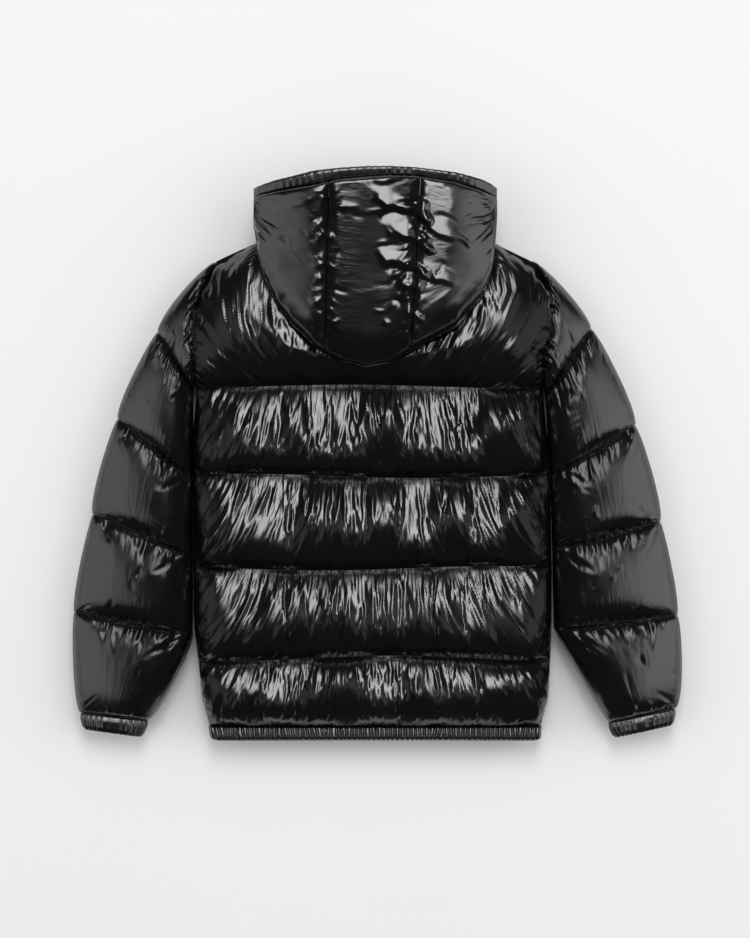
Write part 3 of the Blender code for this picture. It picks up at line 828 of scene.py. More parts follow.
@dataclass
class Body:
    """The back and the two fronts, between the hem and the shoulders."""

    layout: Layout
    back: Panel = field(init=False)
    fronts: dict = field(init=False)

    back_fill: Fill = Fill(
        crest=BODY_CREST, step_across=2.1, step_along=3.4, crown=0.30, spare_middle=0.045,
        spare_seam=0.12, reach=0.4, pressure=170.0, swell=2.2, sag=0.14,
        creases=(CreaseStyle(per_metre=200.0, depth=0.7),),
        ridges=(
            CreaseStyle(per_metre=420.0, typical=40.0, width=2.3, depth=1.5, fan=0.6, scatter=0.13),
            CreaseStyle(per_metre=460.0, typical=54.0, width=2.4, depth=1.6, fan=0.8, scatter=0.13),
            CreaseStyle(per_metre=460.0, typical=54.0, width=2.4, depth=1.6, fan=0.75, scatter=0.13),
            CreaseStyle(per_metre=420.0, typical=56.0, width=2.5, depth=1.6, fan=0.35, scatter=0.16),
            CreaseStyle(per_metre=520.0, typical=58.0, width=2.5, depth=1.5, fan=-0.75, longest=120.0,
                        from_high=0.35),
        ),
        facings=(
            Facing(((-250, -0.5), (-215, -0.4), (-195, 0.7), (-75, 0.7), (-55, -0.6), (-38, -0.6),
                    (-20, 0.8), (60, 0.7), (72, 0.1), (85, 0.7), (140, 0.7), (155, -0.5), (250, -0.8)),
                   size=2.4),
            Facing(((-250, -0.6), (-228, 0.8), (-125, 0.8), (-108, -0.9), (-42, -0.9), (-22, 0.9),
                    (38, 0.8), (55, -0.8), (75, 0.2), (95, 0.7), (230, 0.8), (250, -0.6)), size=2.9),
            Facing(((-250, -0.6), (-226, 0.9), (-112, 0.9), (-92, -0.9), (-50, -0.9), (-38, 0.9),
                    (-20, 0.8), (-5, -0.9), (28, -0.9), (40, 0.8), (74, 0.8), (88, -0.9), (125, -0.9),
                    (138, 0.9), (172, 0.9), (186, -0.8), (210, -0.6), (225, 0.7), (243, 0.7))),
            Facing(((-250, -0.6), (-212, 0.9), (-130, 0.9), (-118, -0.5), (-100, -0.4), (-88, 0.9),
                    (-22, 0.9), (-8, -0.9), (26, -0.9), (40, 0.8), (142, 0.8), (156, -0.9),
                    (198, -0.9), (212, 0.9), (228, 0.9), (240, -0.5))),
        ),
    )
    front_fill: Fill = Fill(
        crest=46.0, step_across=5.0, step_along=5.0, crown=0.3, pressure=150.0,
        creases=(CreaseStyle(per_metre=110.0, width=4.5, depth=1.2, fan=0.4),),
    )
    seam_waves: tuple[float, ...] = (0.0, 4.0, -3.0, 3.0, -2.5, 0.0)
    wave_lengths: tuple[float, float] = (78.0, 95.0)
    armhole: tuple[float, float] = (470.0, 640.0)
    armhole_ends: tuple[float, float] = (50.0, 40.0)
    width: float = 500.0
    front_width: float = 230.0
    neck_half_width: float = 150.0
    zip_lift: float = 0.55
    zip_round: float = 26.0
    free_height: float = 60.0
    hood_room: float = 3.0
    fullness: float = 0.85

    def plan(self, panels: ClothRoom) -> None:
        """Adds the body's panels to the cloth simulation.

        Args:
            panels: The simulation.
        """
        self.back = panels.add(self._back())
        self.fronts = {side: panels.add(self._front(side)) for side in Side}

    def _side_lift(self, y: np.ndarray) -> np.ndarray:
        """Height left at the body's side, as a share: low at the side seam, more at the armhole.

        Args:
            y: Level of each row.

        Returns:
            A share for each row.
        """
        starts = ease((y - self.armhole[0]) / self.armhole_ends[0])
        ends = ease((y - self.armhole[1]) / self.armhole_ends[1])
        return mix(SIDE_HEIGHT, ARMHOLE_HEIGHT, starts * (1.0 - ends))

    def _waved(self, plan: np.ndarray) -> np.ndarray:
        """Lets the quilting seams wander a few millimetres up and down.

        Args:
            plan: X and Y of each point.

        Returns:
            The same points, moved.
        """
        x, y = plan[..., 0], plan[..., 1]
        size = np.interp(y, BODY_SEAMS, self.seam_waves)
        plan[..., 1] = y + size * np.sin(x / self.wave_lengths[0] + y / self.wave_lengths[1])
        return plan

    def _back(self) -> Panel:
        """The back's start shape.

        Returns:
            The panel, ready for the cloth simulation.
        """
        fill = self.back_fill
        levels, phase = between(BODY_SEAMS, fill.step_along)
        levels[0] += SEAM_GAP
        left, right = column(BODY_EDGES, levels, 1), column(BODY_EDGES, levels, 2)
        count = int(self.width / fill.step_across)
        x = mix(left[:, None], right[:, None], np.linspace(0.0, 1.0, count)[None, :])
        plan = self._waved(np.stack([x, np.broadcast_to(levels[:, None], x.shape)], -1))
        press = mix(1.0, HOOD_PRESS, share_under_hood(plan[..., 0], plan[..., 1]))
        lift = self._side_lift(levels)
        return make_panel("back_shell", plan, phase, (lift, lift), (BODY_ROUND, BODY_ROUND), fill,
                          11, press)

    def _neck_inner(self, y: np.ndarray) -> np.ndarray:
        """Half width of the neck opening at a level, or of the zip's channel below it."""
        share = np.clip((y - (SHOULDER - NECK_DROP)) / NECK_DROP, 0.0, 1.0)
        return mix(ZIP_HALF_CHANNEL, self.neck_half_width, np.sqrt(1.0 - (1.0 - share) ** 2))

    def _front(self, side: Side) -> Panel:
        """The start shape of one front, with its columns from the zip outwards.

        Args:
            side: Which front it is.

        Returns:
            The panel, ready for the cloth simulation.
        """
        fill = self.front_fill
        levels, phase = between(BODY_SEAMS, fill.step_along)
        levels[0] += SEAM_GAP
        edge = column(BODY_EDGES, levels, 1 if side is Side.LEFT else 2)
        inner = side.value * self._neck_inner(levels)
        count = int(self.front_width / fill.step_across)
        x = mix(inner[:, None], edge[:, None], np.linspace(0.0, 1.0, count)[None, :])
        plan = np.stack([x, np.broadcast_to(levels[:, None], x.shape)], -1)
        lift = self._side_lift(levels)
        zip_lift = np.full_like(lift, self.zip_lift)
        return make_panel(f"front_{side.word}_shell", plan, phase, (zip_lift, lift),
                          (self.zip_round, BODY_ROUND), fill, 21 + side.value)

    def build(self, look: bpy.types.Material) -> None:
        """Closes the blown-up panels.

        Args:
            look: The shell's material.
        """
        self._press_yoke()
        put_on_padded(closed_panel(self.back, self.layout, Layer.UPPER, look), "back")
        for side, panel in self.fronts.items():
            piece = closed_panel(panel, self.layout, Layer.UNDER, look)
            put_on_padded(piece, f"front_{side.word}")

    def _press_yoke(self) -> None:
        """Keeps the yoke below the hood that lies on it."""
        points = self.back.points
        covered = share_under_hood(points[..., 0], points[..., 1])
        room = mix(self.free_height, BODY_CREST * HOOD_PRESS + self.hood_room, covered)
        points[..., 2] = np.minimum(points[..., 2], room)


@dataclass(frozen=True)
class SleeveTable:
    """One sleeve's seams from the armhole to the cuff.

    Each row holds the seam's outer end, its inner end, and how far the outline bulges
    outwards at either side before the next seam.
    """

    side: Side
    seams: tuple[tuple[float, ...], ...]

    def plan(self, steps: np.ndarray, across: np.ndarray) -> np.ndarray:
        """Points of the sleeve in plan.

        Args:
            steps: Places along the sleeve; whole numbers are its seams.
            across: Places from the outer to the inner edge, from 0 to 1.

        Returns:
            X and Y for each step and each place across.
        """
        table, sign = np.array(self.seams, float), float(self.side.value)
        index = np.minimum(steps.astype(int), len(table) - 2)
        share = (steps - index)[:, None]
        here, after = table[index], table[index + 1]
        swell = np.clip(4.0 * share * (1.0 - share), 0.0, 1.0) ** 0.6
        outer = mix(here[:, 0:2], after[:, 0:2], share)
        inner = mix(here[:, 2:4], after[:, 2:4], share)
        run = after[:, 0:2] - here[:, 0:2]
        run /= np.linalg.norm(run, axis=1, keepdims=True)
        turn = np.where(sign * run[:, 0] > 0, 1.0, -1.0)
        out = np.stack([-sign * run[:, 1], np.abs(run[:, 0]) * turn], -1)
        outer = outer + out * here[:, 4:5] * swell
        inner[:, 0] -= sign * here[:, 5] * swell[:, 0]
        place = mix(outer[:, None], inner[:, None], across[None, :, None])
        edge_column = 1 if self.side is Side.LEFT else 2
        chord = mix(table[0, None, 0:2], table[0, None, 2:4], across[:, None])
        armhole = column(BODY_EDGES, chord[:, 1], edge_column) + sign * EDGE_GAP
        pull = np.clip(1.0 - steps, 0.0, 1.0)[:, None] ** 1.5
        place[..., 0] += (armhole - chord[:, 0])[None] * pull
        edge = column(BODY_EDGES, place[..., 1], edge_column) + sign * EDGE_GAP
        kept = sign * np.maximum(sign * place[..., 0], sign * edge)
        place[..., 0] = np.where(place[..., 1] < BODY_CLEAR_LEVEL, kept, place[..., 0])
        return place


LEFT_SLEEVE = SleeveTable(Side.LEFT, (
    (-225, 671, -252, 500, 10, 0),
    (-305, 573, -255, 493, 7, 0),
    (-361, 451, -256, 372, 7, 0),
    (-396, 317, -256, 263, 5, 0),
    (-422, 180, -256, 152, 6, 9),
    (-414, 39, -318, 29, 0, 0),
))
RIGHT_SLEEVE = SleeveTable(Side.RIGHT, (
    (221, 673, 238, 500, 9, 0),
    (303, 578, 239, 484, 8, 0),
    (365, 442, 246, 373, 7, 0),
    (400, 307, 249, 273, 5, 0),
    (424, 176, 251, 158, 8, 2),
    (422, 45, 327, 26, 0, 0),
))


@dataclass
class Sleeve:
    """A sleeve's upper and under panel."""

    table: SleeveTable
    layout: Layout
    panels: dict = field(init=False)

    top_fill: Fill = Fill(
        crest=37.0, step_across=2.5, step_along=2.9, seam=0.5, crown=0.42, boxy=0.3,
        spare_middle=0.0, spare_seam=0.08, reach=0.24, pressure=90.0, swell=0.3, sag=-0.1,
        creases=(CreaseStyle(per_metre=210.0, typical=24.0, shortest=12.0, longest=60.0,
                             width=3.2, fan=0.25, from_high=0.3, loose=0.2),),
        ridges=(CreaseStyle(per_metre=340.0, typical=15.0, shortest=8.0, longest=38.0, width=2.3,
                            depth=1.9, fan=0.25, from_high=0.15, loose=0.06),),
    )
    under_fill: Fill = Fill(
        crest=43.0, step_across=4.8, step_along=4.8, crown=0.33, spare_middle=0.03,
        spare_seam=0.1, pressure=150.0,
        creases=(CreaseStyle(per_metre=110.0, width=4.5, depth=1.2, fan=0.3),),
    )
    baffle: float = 128.0
    width: float = 150.0
    rounding: float = 50.0
    most_rounded: float = 0.42
    tilt: float = 0.45
    fullness: float = 0.85

    def plan(self, panels: ClothRoom) -> None:
        """Adds the sleeve's panels to the cloth simulation.

        Args:
            panels: The simulation.
        """
        self.panels = {}
        for layer, fill, ending in ((Layer.UPPER, self.top_fill, "top"),
                                    (Layer.UNDER, self.under_fill, "under")):
            count = len(self.table.seams)
            steps, phase = between(np.arange(count) * self.baffle, fill.step_along)
            steps = steps / self.baffle
            across = np.linspace(0.0, 1.0, int(self.width / fill.step_across))
            plan = self.table.plan(steps, across)
            plan[-1, :, 1] += SEAM_GAP
            width = np.linalg.norm(plan[:, -1] - plan[:, 0], axis=1).mean()
            lift = np.full(len(steps), SIDE_HEIGHT)
            rounding = min(self.rounding, width * self.most_rounded)
            name = f"sleeve_{self.table.side.word}_{ending}"
            panel = make_panel(name + "_shell", plan, phase, (lift, lift), (rounding, rounding),
                               fill, 31 + 7 * self.table.side.value + layer.value,
                               tilt=self.tilt if layer is Layer.UPPER else 0.0)
            self.panels[layer] = (name, panels.add(panel))

    def build(self, look: bpy.types.Material) -> None:
        """Closes the blown-up panels.

        Args:
            look: The shell's material.
        """
        for layer, (node, panel) in self.panels.items():
            put_on_padded(closed_panel(panel, self.layout, layer, look), node)


@dataclass(frozen=True)
class HoodLine:
    """A near-straight line down the hood in plan, given at two levels."""

    top_x: float
    low_x: float
    top_y: float = HOOD_TOP_LEVEL
    low_y: float = HOOD_LOW_LEVEL

    def at(self, y: Amount) -> Amount:
        """The line's X at a level."""
        return mix(self.low_x, self.top_x, (y - self.low_y) / (self.top_y - self.low_y))


@dataclass(frozen=True)
class Facet:
    """A place where the hood's cloth lies tilted, as a flat facet between crumples.

    Its edges are in millimetres, and its tilt towards the rim and to the right is in degrees.
    """

    left: float
    right: float
    low: float
    high: float
    to_rim: float
    to_right: float = 0.0
    edge: float = 9.0
    lean: float = 0.45
    skew: float = 0.3

    def height(self, x: np.ndarray, y: np.ndarray) -> np.ndarray:
        """How far the cloth stands out; the facet's edges wander by a few millimetres.

        Args:
            x: Place across the hood of each point.
            y: Level of each point.

        Returns:
            A height for each point, in millimetres.
        """
        middle = (self.low + self.high) / 2.0
        across = x + self.lean * (y - middle) + 3.5 * np.sin(y / 8.0) + 2.5 * np.sin(y / 3.7 + x / 19.0)
        along = y + self.skew * (x - self.left) + 4.0 * np.sin(x / 11.0 + 1.0) + 2.0 * np.sin(x / 5.1)
        inside = ease((across - self.left) / self.edge) * ease((self.right - across) / self.edge)
        inside = inside * ease((along - self.low) / self.edge) * ease((self.high - along) / self.edge)
        rise = -math.tan(math.radians(self.to_rim)) * (y - middle)
        rise = rise - math.tan(math.radians(self.to_right)) * (x - (self.left + self.right) / 2.0)
        return inside * rise


@dataclass(frozen=True)
class Fall:
    """How the hood's upper side falls off towards one side, in millimetres."""

    starts: float
    over: float
    depth: float
    power: float

    def at(self, out: Amount) -> Amount:
        """The fall at a distance from the middle."""
        return self.depth * np.clip((out - self.starts) / self.over, 0.0, 1.0) ** self.power


LEFT_FALL = Fall(84.0, 84.0, 20.0, 1.35)
RIGHT_FALL = Fall(98.0, 70.0, 16.0, 1.6)
FALL_WAVES = ((5.0, 9.0, 0.0), (4.0, 23.0, 1.0), (1.5, 3.1, 0.0))  # size, length, start
FALL_CALM = (136.0, 48.0)      # the waves end this far out, and fade over this length
HOOD_OUTER = 168.0             # half the hood's width, where it rounds over
HOOD_OUTER_SLOPE = 1.2
HOOD_OUTER_HEIGHT = 4.0
HOOD_ROUND = 48.0
HOOD_SLOPES = (0.06, -0.015)   # rise towards the rim, left and right of the place below
HOOD_SLOPE_PLACE = 12.0
HOOD_SLOPE_BLEND = 50.0


def hood_height(x: Amount, y: Amount, fold: Amount, crest: float) -> Amount:
    """Height of the hood's upper side above its slit, without seams and crumples.

    Args:
        x: Place across the hood of each point.
        y: Level of each point.
        fold: Level of the hood's fold below each point.
        crest: The hood's greatest height.

    Returns:
        A height for each point, in millimetres.
    """
    outer = (HOOD_OUTER - np.abs(x)) * HOOD_OUTER_SLOPE + HOOD_OUTER_HEIGHT
    side = dome(np.minimum(y - fold, outer), HOOD_ROUND)
    wander = sum(size * np.sin(y / length + start) for size, length, start in FALL_WAVES)
    wander = wander * np.clip((FALL_CALM[0] - np.abs(x)) / FALL_CALM[1], 0.0, 1.0)
    fall = LEFT_FALL.at(-x - wander) + RIGHT_FALL.at(x - wander)
    level = HOOD_FLOOR - hood_floor(y)
    slope = mix(*HOOD_SLOPES, ease((x - HOOD_SLOPE_PLACE) / HOOD_SLOPE_BLEND))
    return HOOD_NOSE + side * (crest + level - fall + slope * (y - NECK_LINE))


@dataclass
class HoodPanel:
    """One of the hood's three panels, between two lines down the hood.

    Its cloth's rows run down the hood, from the rim to the fold, so that its creases
    start at the seams on either side.
    """

    word: str
    start: HoodLine
    end: HoodLine
    start_dip: float
    end_dip: float
    seed: int
    layout: Layout
    panel: Panel = field(init=False)

    fill: Fill = Fill(
        crest=32.5, step_across=2.3, step_along=2.3, spare_middle=0.0, spare_seam=0.08,
        reach=0.2, pressure=30.0, limit=0.8, swell=0.3,
        creases=(CreaseStyle(per_metre=90.0, shortest=14.0, longest=46.0, width=3.0, depth=0.5,
                             fan=0.1, from_high=0.5, loose=0.2),),
        ridges=(CreaseStyle(per_metre=230.0, typical=20.0, shortest=10.0, longest=44.0, width=2.8,
                            depth=1.7, fan=0.1, scatter=0.3, from_high=0.5, loose=0.1),),
    )
    facets: tuple[Facet, ...] = (
        Facet(-6.0, 62.0, 742.0, 786.0, 10.0),
        Facet(8.0, 62.0, 700.0, 744.0, 10.0, -2.0),
        Facet(0.0, 58.0, 664.0, 700.0, 10.0, 2.0),
        Facet(18.0, 58.0, 630.0, 664.0, 10.0),
        Facet(30.0, 56.0, 590.0, 616.0, 9.0, -4.0),
        Facet(-82.0, -66.0, 702.0, 732.0, 12.0, 3.0),
        Facet(-78.0, -64.0, 664.0, 694.0, 12.0, 2.0),
        Facet(-76.0, -64.0, 622.0, 642.0, 12.0, 2.0),
        Facet(70.0, 116.0, 700.0, 740.0, 6.0, 2.0),
        Facet(66.0, 108.0, 640.0, 676.0, 6.0, 3.0),
    )
    length: float = 230.0
    front_height: float = 0.9
    front_round: float = 5.0
    seam_round: float = 6.0
    neck_from_fold: float = 25.0
    neck_from_rim: float = 6.0
    fold_thickness: float = 12.0
    below: tuple[float, ...] = (0.03, 0.1, 0.2, 0.35, 0.5, 0.8, 1.0)
    floor: tuple[float, ...] = (1.0, 0.66, 0.33, 0.0)
    fullness: float = 0.75

    def _lines(self, shares: np.ndarray) -> list[HoodLine]:
        """The lines down the hood at some shares of the way across the panel."""
        start, end = self.start, self.end
        return [HoodLine(mix(start.top_x, end.top_x, share), mix(start.low_x, end.low_x, share))
                for share in shares]

    def plan(self, panels: ClothRoom) -> None:
        """Adds the panel to the cloth simulation.

        Args:
            panels: The simulation.
        """
        fill = self.fill
        width = abs(self.end.low_x - self.start.low_x)
        rows = int(width / fill.step_along)
        shares = np.linspace(0.0, 1.0, rows)
        points = []
        for line in self._lines(shares):
            fold = column(HOOD_EDGES, line.at(HOOD_LOW_LEVEL), 1)
            rim = column(HOOD_EDGES, line.at(HOOD_TOP_LEVEL), 2) - SEAM_GAP
            y = np.linspace(rim, fold, int(self.length / fill.step_across))
            x = line.at(y)
            front = mix(self.front_height, 1.0, dome(rim - y, self.front_round))
            points.append(np.stack([x, y, hood_height(x, y, fold, fill.crest) * front], -1))
        points = np.array(points)
        from_start = shares * width
        dip = mix(self.start_dip, 1.0, dome(from_start, self.seam_round))
        dip = np.minimum(dip, mix(self.end_dip, 1.0, dome(width - from_start, self.seam_round)))
        points[..., 2] *= dip[:, None]
        phase = shares.copy()
        phase[-1] = 0.0
        self.panel = panels.add(fill.start(f"hood_{self.word}_shell", points, phase, self.seed))
        self.panel.relief = sum(facet.height(points[..., 0], points[..., 1]) for facet in self.facets)

    def build(self, look: bpy.types.Material, under: Callable) -> bpy.types.Object:
        """Closes the panel round its fold, with the side that rests on the back.

        Args:
            look: The shell's material.
            under: Height of the hood's underside at X and Y.

        Returns:
            The piece.
        """
        top = self.panel.points
        rows, columns = top.shape[:2]
        rings = []
        for i, line in enumerate(self._lines(np.linspace(0.0, 1.0, rows))):
            rim, fold = top[i, 0, 1], top[i, -1, 1]
            neck = min(max(NECK_LINE, fold + self.neck_from_fold), rim - self.neck_from_rim)
            inner_fold = fold + min(self.fold_thickness, (neck - fold) * 0.5)
            outer = top[i].copy()
            outer[:, 2] += hood_floor(outer[:, 1]) + HOOD_SLIT
            y = mix(fold, neck, np.array(self.below))
            below = np.stack([line.at(y), y, under(line.at(y), y)], -1)
            y = mix(inner_fold, neck, np.array(self.floor))
            floor = np.stack([line.at(y), y, hood_floor(y)], -1)
            y = mix(inner_fold, rim, np.linspace(0.0, 1.0, 5))
            slit = np.stack([line.at(y), y, hood_floor(y) + HOOD_SLIT], -1)
            rings.append(np.concatenate([outer, below, floor, slit]))
        rings = np.array(rings)
        count = rings.shape[1]
        pucker = np.zeros((rows, count))
        pucker[:, :columns] = self.panel.pucker()
        grain, ends = np.zeros((2, rows, count, 2))
        grain[:, :columns] = self.panel.grain()
        ends[:, :columns] = self.panel.grain_ends()
        points = rings.reshape(-1, 3)
        faces = outward(points, loft_faces(rows, count))
        return make_mesh(self.panel.name, self.layout.metres(points), faces, look, pucker, grain, ends)


@dataclass
class Hood:
    """The hood, laid back over the yoke: three panels and the casing round its opening."""

    layout: Layout
    parts: list = field(init=False)

    seams: tuple[HoodLine, HoodLine] = (HoodLine(-63.0, -68.0), HoodLine(63.0, 49.0))
    edges: tuple[HoodLine, HoodLine] = (HoodLine(-168.0, -168.0), HoodLine(169.0, 169.0))
    edge_dip: float = 0.98
    seam_dip: float = 0.94
    seam_height: float = 0.47
    rest_gap: float = 6.0

    def plan(self, panels: ClothRoom) -> None:
        """Adds the three panels to the cloth simulation.

        Args:
            panels: The simulation.
        """
        before, after = ([HoodLine(seam.top_x + gap, seam.low_x + gap) for seam in self.seams]
                         for gap in (-SEAM_GAP, SEAM_GAP))
        edge, seam = self.edge_dip, self.seam_dip
        self.parts = [
            HoodPanel("left", self.edges[0], before[0], edge, seam, 51, self.layout),
            HoodPanel("center", after[0], before[1], seam, seam, 52, self.layout),
            HoodPanel("right", after[1], self.edges[1], seam, edge, 53, self.layout),
        ]
        for part in self.parts:
            part.plan(panels)

    def _under(self, x: Amount, y: Amount) -> Amount:
        """Height of the hood's underside, which rests on the back.

        Args:
            x: Place across the hood of each point.
            y: Level of each point.

        Returns:
            A height for each point, in millimetres.
        """
        lowest = hood_floor(y) - HOOD_UNDER_THICK
        left, right = column(BODY_EDGES, y, 1), column(BODY_EDGES, y, 2)
        rise = dome(np.minimum(x - left, right - x), BODY_ROUND)
        press = mix(1.0, HOOD_PRESS, share_under_hood(x, y))
        yoke = BODY_SEAMS[-2]
        share = np.clip((y - yoke) / (SHOULDER - yoke), 0.0, 1.0)
        swell = mix(self.seam_height, 1.0, np.sqrt(4.0 * share * (1.0 - share)))
        back = MIDDLE + BODY_CREST * press * swell * mix(ARMHOLE_HEIGHT, 1.0, rise) + self.rest_gap
        return np.where(y > SHOULDER, lowest, np.maximum(back, lowest))

    def build(self, look: bpy.types.Material) -> None:
        """Closes the three panels.

        Args:
            look: The hood's material.
        """
        for part in self.parts:
            put_on_padded(part.build(look, self._under), f"hood_{part.word}")


@dataclass
class Collar:
    """One half of the low collar that the zip closes, under the hood."""

    side: Side
    layout: Layout

    top: float = 768.0
    level: float = 20.0
    up: float = 17.5
    down: float = 23.0
    half_width: float = 146.0
    length: float = 130.0
    neck_reach: float = 135.0
    neck_gap: float = 2.6
    end_drop: float = 22.0
    end_lift: float = 0.4
    end_round: float = 30.0
    zip_lift: float = 0.5
    zip_round: float = 18.0
    fold_depth: float = 0.07
    fold_turns: float = 21.0
    fold_start: float = 1.2
    fullness: float = 0.7
    profile_along: tuple[float, ...] = (0.0, 0.12, 0.5, 0.88, 1.0)
    profile_lift: tuple[float, ...] = (0.5, 0.9, 1.0, 0.85, 0.3)
    cloth_size: tuple[float, float] = (0.16, 0.26)
    crumple: float = 0.45

    def build(self, look: bpy.types.Material) -> None:
        """Lofts the collar from the zip outwards.

        Args:
            look: The shell's material.
        """
        sign = float(self.side.value)
        along = np.linspace(0.0, 1.0, 25)
        lift = np.interp(along, self.profile_along, self.profile_lift)
        lift = np.convolve(np.pad(lift, 2, mode="edge"), np.ones(5) / 5.0, mode="valid")
        rings = []
        for share in np.linspace(0.0, 1.0, 61):
            x = sign * mix(ZIP_HALF_CHANNEL, self.half_width, share)
            reach = np.clip((abs(x) - ZIP_HALF_CHANNEL) / self.neck_reach, 0.0, 1.0)
            low = SHOULDER - NECK_DROP * math.sqrt(1.0 - reach**2) + self.neck_gap
            high = mix(self.top, self.top - self.end_drop, share**2)
            outer_rise = mix(self.end_lift, 1.0, dome((1.0 - share) * self.length, self.end_round))
            zip_rise = mix(self.zip_lift, 1.0, dome(share * self.length, self.zip_round))
            wave = math.sin(share * self.fold_turns + self.fold_start * sign)
            fold = 1.0 - self.fold_depth * wave * np.sin(along * math.pi) ** 0.5
            y = mix(low, high, along)
            up = self.level + self.up * lift * outer_rise * fold
            down = self.level - self.down * lift * outer_rise * zip_rise * fold
            upper = np.stack([np.full_like(y, x), y, up], -1)
            lower = np.stack([np.full_like(y, x), y, np.maximum(down, 0.0)], -1)
            rings.append(np.concatenate([upper, lower[::-1]]))
        rings = np.array(rings)
        rows, count = rings.shape[:2]
        points = rings.reshape(-1, 3)
        places = [np.linspace(0, size, number) for size, number in zip(self.cloth_size, (rows, count))]
        grain = np.stack(np.meshgrid(*places, indexing="ij"), -1)
        faces = outward(points, loft_faces(rows, count))
        name = f"collar_{self.side.word}"
        piece = make_mesh(name + "_shell", self.layout.metres(points), faces, look,
                          np.full((rows, count), self.crumple), grain)
        put_on_padded(piece, name)


class Nodes:
    """Adds nodes of one type, with settings and inputs, to a node tree."""

    def __init__(self, tree: bpy.types.NodeTree) -> None:
        """Keeps the tree that the nodes go to."""
        self.tree = tree

    def add(self, kind: str, settings: dict | None = None, **inputs) -> bpy.types.Node:
        """Adds a node.

        Args:
            kind: Blender's name for the node's type.
            settings: Its properties.
            **inputs: Values or sockets for its inputs, by name, with _ for a space.

        Returns:
            The node.
        """
        node = self.tree.nodes.new(kind)
        for key, value in (settings or {}).items():
            setattr(node, key, value)
        for key, value in inputs.items():
            self.feed(node.inputs[key.replace("_", " ")], value)
        return node

    def feed(self, target: bpy.types.NodeSocket, value: object) -> None:
        """Links a socket to an input, or sets the input's own value.

        Args:
            target: The input.
            value: A term, a socket or a plain value.
        """
        if isinstance(value, Term):
            value = value.socket
        if isinstance(value, bpy.types.NodeSocket):
            self.tree.links.new(value, target)
        else:
            target.default_value = value

    def term(self, socket: bpy.types.NodeSocket) -> "Term":
        """The socket as a number that can be reckoned with."""
        return Term(self, socket)


class Term:
    """A number in a node tree, with the usual arithmetic."""

    def __init__(self, nodes: Nodes, socket: bpy.types.NodeSocket) -> None:
        """Wraps one output socket."""
        self.nodes = nodes
        self.socket = socket

    def _math(self, operation: str, *values, clamp: bool = False) -> "Term":
        """A Math node over the values.

        Args:
            operation: Blender's name for what it does.
            *values: Terms, sockets or numbers.
            clamp: Whether the result is held between 0 and 1.

        Returns:
            The result.
        """
        node = self.nodes.tree.nodes.new("ShaderNodeMath")
        node.operation = operation
        node.use_clamp = clamp
        for target, value in zip(node.inputs, values):
            self.nodes.feed(target, value)
        return Term(self.nodes, node.outputs[0])

    def __add__(self, other) -> "Term":
        """Sum."""
        return self._math("ADD", self, other)

    __radd__ = __add__

    def __mul__(self, other) -> "Term":
        """Product."""
        return self._math("MULTIPLY", self, other)

    __rmul__ = __mul__

    def __sub__(self, other) -> "Term":
        """Difference."""
        return self._math("SUBTRACT", self, other)

    def __rsub__(self, other) -> "Term":
        """Difference, the other way round."""
        return self._math("SUBTRACT", other, self)

    def __truediv__(self, other) -> "Term":
        """Quotient."""
        return self._math("DIVIDE", self, other)

    def __pow__(self, other) -> "Term":
        """Power."""
        return self._math("POWER", self, other)

    def sine(self) -> "Term":
        """Sine of the number."""
        return self._math("SINE", self)

    def magnitude(self) -> "Term":
        """The number without its sign."""
        return self._math("ABSOLUTE", self)

    def modulo(self, other) -> "Term":
        """Remainder after a division."""
        return self._math("MODULO", self, other)

    def between(self, low: float, high: float) -> "Term":
        """0 at low and 1 at high, held to that range."""
        return self._math("DIVIDE", self - low, high - low, clamp=True)


class ShapeTree:
    """A geometry node tree with named inputs, and the modifier that runs it once."""

    SOCKETS = {float: "NodeSocketFloat", bpy.types.Material: "NodeSocketMaterial"}

    def __init__(self, name: str, inputs: dict) -> None:
        """Makes the tree with a geometry input and the given named ones.

        Args:
            name: The tree's name.
            inputs: Kind of each further input, by name.
        """
        self.tree = bpy.data.node_groups.new(name, "GeometryNodeTree")
        self.ids = {}
        face = self.tree.interface
        face.new_socket("Geometry", in_out="INPUT", socket_type="NodeSocketGeometry")
        for key, kind in inputs.items():
            socket = face.new_socket(key, in_out="INPUT", socket_type=self.SOCKETS[kind])
            self.ids[key] = socket.identifier
        face.new_socket("Geometry", in_out="OUTPUT", socket_type="NodeSocketGeometry")
        self.nodes = Nodes(self.tree)
        self.start = self.tree.nodes.new("NodeGroupInput")
        self.end = self.tree.nodes.new("NodeGroupOutput")

    def given(self, key: str) -> bpy.types.NodeSocket:
        """One of the tree's inputs."""
        return self.start.outputs[key]

    def number(self, key: str) -> Term:
        """One of the tree's inputs, as a number to reckon with."""
        return self.nodes.term(self.start.outputs[key])

    def close(self, geometry: bpy.types.NodeSocket) -> None:
        """Ends the tree: real geometry, in the given material."""
        real = self.nodes.add("GeometryNodeRealizeInstances", Geometry=geometry)
        painted = self.nodes.add("GeometryNodeSetMaterial", Geometry=real.outputs[0],
                                 Material=self.given("Material"))
        self.nodes.feed(self.end.inputs[0], painted.outputs[0])

    def apply(self, source: bpy.types.Object, **values) -> bpy.types.Object:
        """Runs the tree on an object and puts a plain mesh in its place.

        Args:
            source: The mesh or curve that the tree starts from.
            **values: The named inputs' values.

        Returns:
            The mesh object, under the source's name.
        """
        modifier = source.modifiers.new("shape", "NODES")
        modifier.node_group = self.tree
        for key, value in values.items():
            modifier[self.ids[key]] = value
        graph = bpy.context.evaluated_depsgraph_get()
        graph.update()
        mesh = bpy.data.meshes.new_from_object(source.evaluated_get(graph))
        name = source.name
        bpy.data.objects.remove(source)
        mesh.name = name
        mesh.shade_smooth()
        piece = bpy.data.objects.new(name, mesh)
        bpy.context.scene.collection.objects.link(piece)
        return piece


